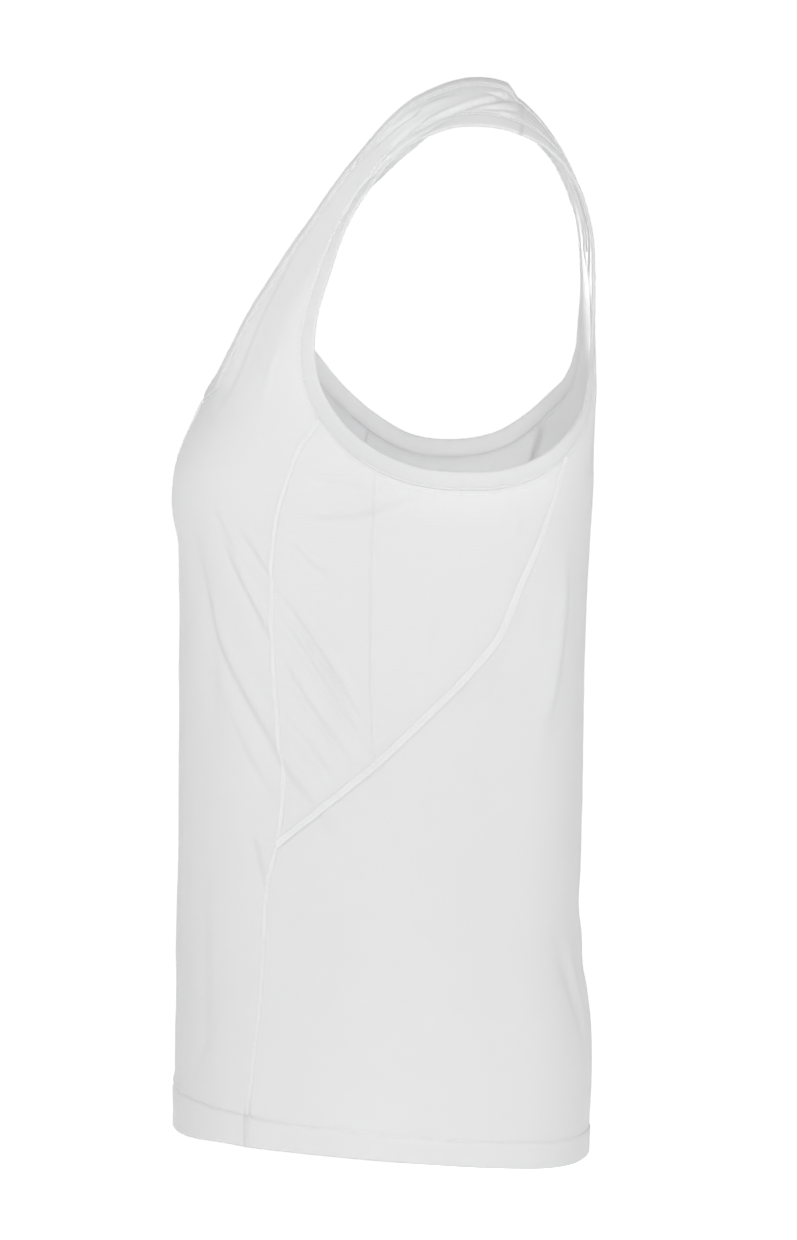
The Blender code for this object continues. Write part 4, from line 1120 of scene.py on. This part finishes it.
# a row of stitches round the hem
def hemStitches(name):
    shape, turn = threadShapes["hemStitch"], np.linspace(0, 2 * math.pi, fineness["hemSteps"])
    across = hemOval["halfWidth"] * np.sin(turn)
    ahead = hemOval["middleY"] - hemOval["halfDepth"] * np.cos(turn)
    ring = np.stack([across, ahead, np.full(len(turn), hemOval["z"])], axis=1)
    for _ in range(fineness["hemRounds"]):
        ring = settle(ring)
        ring[:, 2] = smooth(ring[:, 1], stitchRows[:, 0], stitchRows[:, 1])
    far, height = stitchRow(along(ring)[-1], shape)
    base = sampled(ring, far.ravel() / along(ring)[-1]).reshape(*far.shape, 3)
    return threadPiece(name, [onCloth(base, height, True)], shape["radius"])


# an output of a node, to be added to and multiplied
class Wire:
    def __init__(self, finish, socket):
        self.finish, self.socket = finish, socket

    # another output of the same node
    def other(self, out):
        return Wire(self.finish, self.socket.node.outputs[out])

    def maths(self, operation, other):
        return self.finish.node("ShaderNodeMath", {"operation": operation}, {0: self, 1: other})

    def __add__(self, other):
        return self.maths("ADD", other)

    def __mul__(self, other):
        return self.maths("MULTIPLY", other)

    __radd__, __rmul__ = __add__, __mul__


# a material being made: node() adds any node, its settings first and then what goes into it
class Finish:
    def __init__(self, name):
        self.material = bpy.data.materials.new(name)
        self.material.use_nodes = True
        self.tree = self.material.node_tree
        self.tree.nodes.clear()

    def node(self, kind, settings=None, inputs=None, out=0):
        made = self.tree.nodes.new(kind)
        for name, value in (settings or {}).items():
            setattr(made, name, value)
        for name, value in (inputs or {}).items():
            if isinstance(value, Wire):
                self.tree.links.new(value.socket, made.inputs[name])
            else:
                made.inputs[name].default_value = value
        return None if out is None else Wire(self, made.outputs[out])

    # a wave between 0 and 1 with its crests a given length apart
    def wave(self, at, length):
        sine = self.node("ShaderNodeMath", {"operation": "SINE"}, {0: at * (2 * math.pi / length)})
        return sine * 0.5 + 0.5


    def noise(self, scale, detail):
        place = self.node("ShaderNodeTexCoord", out=3)
        return self.node("ShaderNodeTexNoise", None, {"Vector": place, "Scale": scale, "Detail": detail})

    # the colour and the relief that a look gives to a tone and a height
    def dyed(self, look, tone, height):
        shades = {0: tone, 6: look["shade"], 7: look["colour"]}
        relief = {"Strength": look["bump"], "Distance": 1.0, "Height": height}
        return (self.node("ShaderNodeMix", {"data_type": "RGBA"}, shades, out=2),
                self.node("ShaderNodeBump", None, relief))


jerseyLook = {
    "colour": (0.812, 0.812, 0.814, 1), "shade": (0.782, 0.782, 0.785, 1), "roughness": 0.62,
    "wale": 0.00078, "course": 0.00062, "depth": 0.00006, "bump": 0.55, "through": 0.36, "sheen": 0.06,
}
knitLook = {
    "colour": (0.812, 0.812, 0.815, 1), "shade": (0.787, 0.787, 0.791, 1), "roughness": 0.66,
    "wale": 0.00120, "course": 0.00190, "depth": 0.00003, "bump": 0.55, "through": 0.36, "sheen": 0.05,
}
tapeLook = {
    "colour": (0.788, 0.788, 0.791, 1), "shade": (0.758, 0.758, 0.762, 1), "roughness": 0.56,
    "wale": 0.00070, "course": 0.00055, "depth": 0.00005, "bump": 0.55, "through": 0.46, "sheen": 0.06,
}
threadLook = {
    "colour": (0.828, 0.828, 0.830, 1), "shade": (0.800, 0.800, 0.803, 1), "roughness": 0.6,
    "twist": 0.0004, "depth": 0.00003, "bump": 0.5, "bending": 1.45, "sheen": 0.05,
}
# what all the knits share: the loops' two ways, the clouding and the fibres, and what each adds to the tone
knitGrain = {
    "waleShare": 0.6, "courseShare": 0.4, "loopTone": 0.55, "cloudTone": 0.35, "fibreTone": 0.20,
    "cloudScale": 14.0, "cloudDetail": 4.0, "fibreScale": 900.0, "fibreDetail": 2.0, "fibreDepth": 0.00002,
    "roughSpread": 0.10, "bending": 1.42, "sheenRoughness": 0.5,
}


# knitted cloth: loops in columns and rows, a little unevenness in tone, and light that comes through it
def knitFinish(name, look, ribbed=0.0):
    finish, grain = Finish(name), knitGrain
    cut = finish.node("ShaderNodeUVMap", {"uv_map": "cut"})
    across = finish.node("ShaderNodeSeparateXYZ", None, {0: cut})
    wales, courses = finish.wave(across, look["wale"]), finish.wave(across.other(1), look["course"])
    loops = wales * ((1 - ribbed) * grain["waleShare"])
    loops = loops + courses * (grain["courseShare"] + grain["waleShare"] * ribbed)
    cloud = finish.noise(grain["cloudScale"], grain["cloudDetail"])
    fibre = finish.noise(grain["fibreScale"], grain["fibreDetail"])
    tone = loops * grain["loopTone"] + cloud * grain["cloudTone"] + fibre * grain["fibreTone"]
    colour, bump = finish.dyed(look, tone, loops * look["depth"] + fibre * grain["fibreDepth"])
    rough = cloud * grain["roughSpread"] + (look["roughness"] - grain["roughSpread"] / 2)
    cloth = finish.node("ShaderNodeBsdfPrincipled", None, {
        "Base Color": colour, "Roughness": rough, "Normal": bump, "IOR": grain["bending"],
        "Sheen Weight": look["sheen"], "Sheen Roughness": grain["sheenRoughness"]})
    sentThrough = tuple(between(np.array(look["shade"]), np.array(look["colour"]), 0.5))
    glow = finish.node("ShaderNodeBsdfTranslucent", None, {"Color": sentThrough, "Normal": bump})
    mixed = finish.node("ShaderNodeMixShader", None, {0: look["through"], 1: cloth, 2: glow})
    finish.node("ShaderNodeOutputMaterial", None, {0: mixed}, out=None)
    return finish.material


# twisted sewing thread
def threadFinish(name, look):
    finish = Finish(name)
    twist = finish.noise(1 / look["twist"], 1.0)
    colour, bump = finish.dyed(look, twist, twist * look["depth"])
    thread = finish.node("ShaderNodeBsdfPrincipled", None, {
        "Base Color": colour, "Roughness": look["roughness"], "Normal": bump, "IOR": look["bending"],
        "Sheen Weight": look["sheen"]})
    finish.node("ShaderNodeOutputMaterial", None, {0: thread}, out=None)
    return finish.material


jersey = knitFinish("whiteJersey", jerseyLook)
insertKnit = knitFinish("ribbedInsertKnit", knitLook, ribbed=0.8)
tape = knitFinish("bindingTape", tapeLook)
thread = threadFinish("sewingThread", threadLook)
print("finishes made")

panelSeams = {"front": (frontGrid, ("armhole", "neck", "shoulder", "sideFront")),
              "back": (backGrid, ("armhole", "neck", "shoulder", "sideFront", "slant"))}
insertSeams = {"Front": (insertFrontGrid, ("armhole", "sideFront", "slant", "side")),
               "Back": (insertBackGrid, ("armhole", "slant", "side"))}
pieces, threads = {}, []
for name, (gridOf, seamNames) in panelSeams.items():
    (left, leftCut), (right, rightCut) = (gridOf(plan) for plan in plans.values())
    sheets = [(left, leftCut), (right * flip, rightCut)]
    made = clothPiece(name + "PanelCloth", sheets, seamNames, withHem=True)
    pieces[name + "_panel"] = (made, jersey, "panel_jersey")
    print(name, "panel made")

for sideName, plan in plans.items():
    hand = flip if sideName == "right" else np.ones(3)
    for name, (gridOf, seamNames) in insertSeams.items():
        grid, cut = gridOf(plan)
        made = clothPiece("insert" + name + "Cloth_" + sideName, [(grid * hand, cut)], seamNames)
        pieces["insert_" + name.lower() + "_" + sideName] = (made, insertKnit, "insert_knit")
    ring = plan.ring * np.tile(hand, 2)
    joinAt = along(ring)[nearest(ring, plan.armholeJoin[1:])] / along(ring)[-1]
    armholeTape = Tape("armholeTape_" + sideName, ring, joinAt, "armhole")
    pieces["armhole_binding_" + sideName] = (armholeTape.piece(), tape, "binding_tape")
    threads.append(topStitches("armholeStitches_" + sideName, armholeTape))
    for seamName in ("slant", "sideFront"):
        threads.append(coverPiece(seamName + "Cover_" + sideName, sideName, seamName))
neckTape = Tape("neckTape", neckRing, 0.5, "neck")
pieces["neck_binding"] = (neckTape.piece(), tape, "binding_tape")
threads += [topStitches("neckStitches", neckTape), hemStitches("hemStitches")]
print("inserts and tapes made")

for node, (piece, finish, slot) in pieces.items():
    piece.data.materials.append(finish)
    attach(piece, "root")
    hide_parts(node)
for piece in threads:
    piece.data.materials.append(thread)
    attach(piece, "root")
print("pieces placed")

# a floor that is painted darker near the object, a painted shade under it that also sends less light up onto
# the cloth, and pale far away, where it also glows
stage = {"floorZ": -1.15, "floorSize": 260.0, "roughness": 0.9, "nearEnd": 1.4, "farStart": 3.6,
         "paintedShadePale": 0.68, "farPale": 0.90, "nearGlow": 0.0, "floorGlow": 0.62, "sky": 0.44}
floorMesh = meshFrom("studioFloor", [(-1, -1, 0), (1, -1, 0), (1, 1, 0), (-1, 1, 0)], [(0, 1, 2, 3)])
floor = linked("studioFloor", floorMesh)
floor.scale = (stage["floorSize"],) * 3
floor.location.z = stage["floorZ"]
pale = Finish("paleFloor")
place = pale.node("ShaderNodeNewGeometry")
away = pale.node("ShaderNodeVectorMath", {"operation": "LENGTH"}, {0: place}, out=1)
# the floor's colour runs from the painted shade near the object to pale far away
glow, paintedShadeToPale = (
    pale.node("ShaderNodeMapRange", None,
              {0: away, 1: stage["nearEnd"], 2: stage["farStart"], 3: near, 4: far})
    for near, far in ((stage["nearGlow"] / stage["floorGlow"], 1.0), (stage["paintedShadePale"], stage["farPale"])))
ground = pale.node("ShaderNodeBsdfPrincipled", None, {
    "Base Color": paintedShadeToPale, "Roughness": stage["roughness"], "Emission Color": glow,
    "Emission Strength": stage["floorGlow"]})
pale.node("ShaderNodeOutputMaterial", None, {0: ground}, out=None)
floorMesh.materials.append(pale.material)

world = bpy.data.worlds.new("studioSky")
bpy.context.scene.world = world
world.use_nodes = True
sky = world.node_tree.nodes["Background"].inputs
sky["Color"].default_value, sky["Strength"].default_value = (1, 1, 1, 1), stage["sky"]

# name: place, aim, size and power of each soft light
softLights = {
    "keyLight": ((3.6, -0.7, 1.1), (0.0, -0.05, -0.30), 1.7, 33),
    "faceLight": ((7.9, -0.3, 0.6), (0.0, -0.05, -0.30), 3.0, 116),
    "frontLight": ((0.75, -2.1, 0.7), (0.0, -0.05, -0.30), 0.9, 18),
    "backLight": ((1.8, 4.4, 0.5), (0.0, -0.05, -0.30), 2.0, 74),
    "farLight": ((-4.5, -0.05, -0.12), (0.0, -0.05, -0.25), 0.8, 285),
}
for name, (place, aim, size, power) in softLights.items():
    lamp = bpy.data.lights.new(name, "AREA")
    lamp.shape, lamp.size, lamp.energy = "SQUARE", size, power
    holder = linked(name, lamp)
    holder.location = place
    holder.rotation_euler = (Vector(aim) - Vector(place)).to_track_quat("-Z", "Y").to_euler()

view = {"azimuth": 88.0, "elevation": 4.1, "distance": 7.0, "target": (0.0, -0.0473, -0.3025), "lens": 350.4,
        "sensor": 36.0, "farthest": 1000}
azimuth, elevation = math.radians(view["azimuth"]), math.radians(view["elevation"])
level = math.cos(elevation)
behind = Vector((math.sin(azimuth) * level, -math.cos(azimuth) * level, math.sin(elevation)))
lens = bpy.data.cameras.new("sideCamera")
lens.lens, lens.sensor_width, lens.clip_end = view["lens"], view["sensor"], view["farthest"]
camera = linked("sideCamera", lens)
camera.location = Vector(view["target"]) + view["distance"] * behind
camera.rotation_euler = behind.to_track_quat("Z", "Y").to_euler()
bpy.context.scene.camera = camera
bpy.context.scene.view_settings.view_transform = "Standard"
print("studio set")
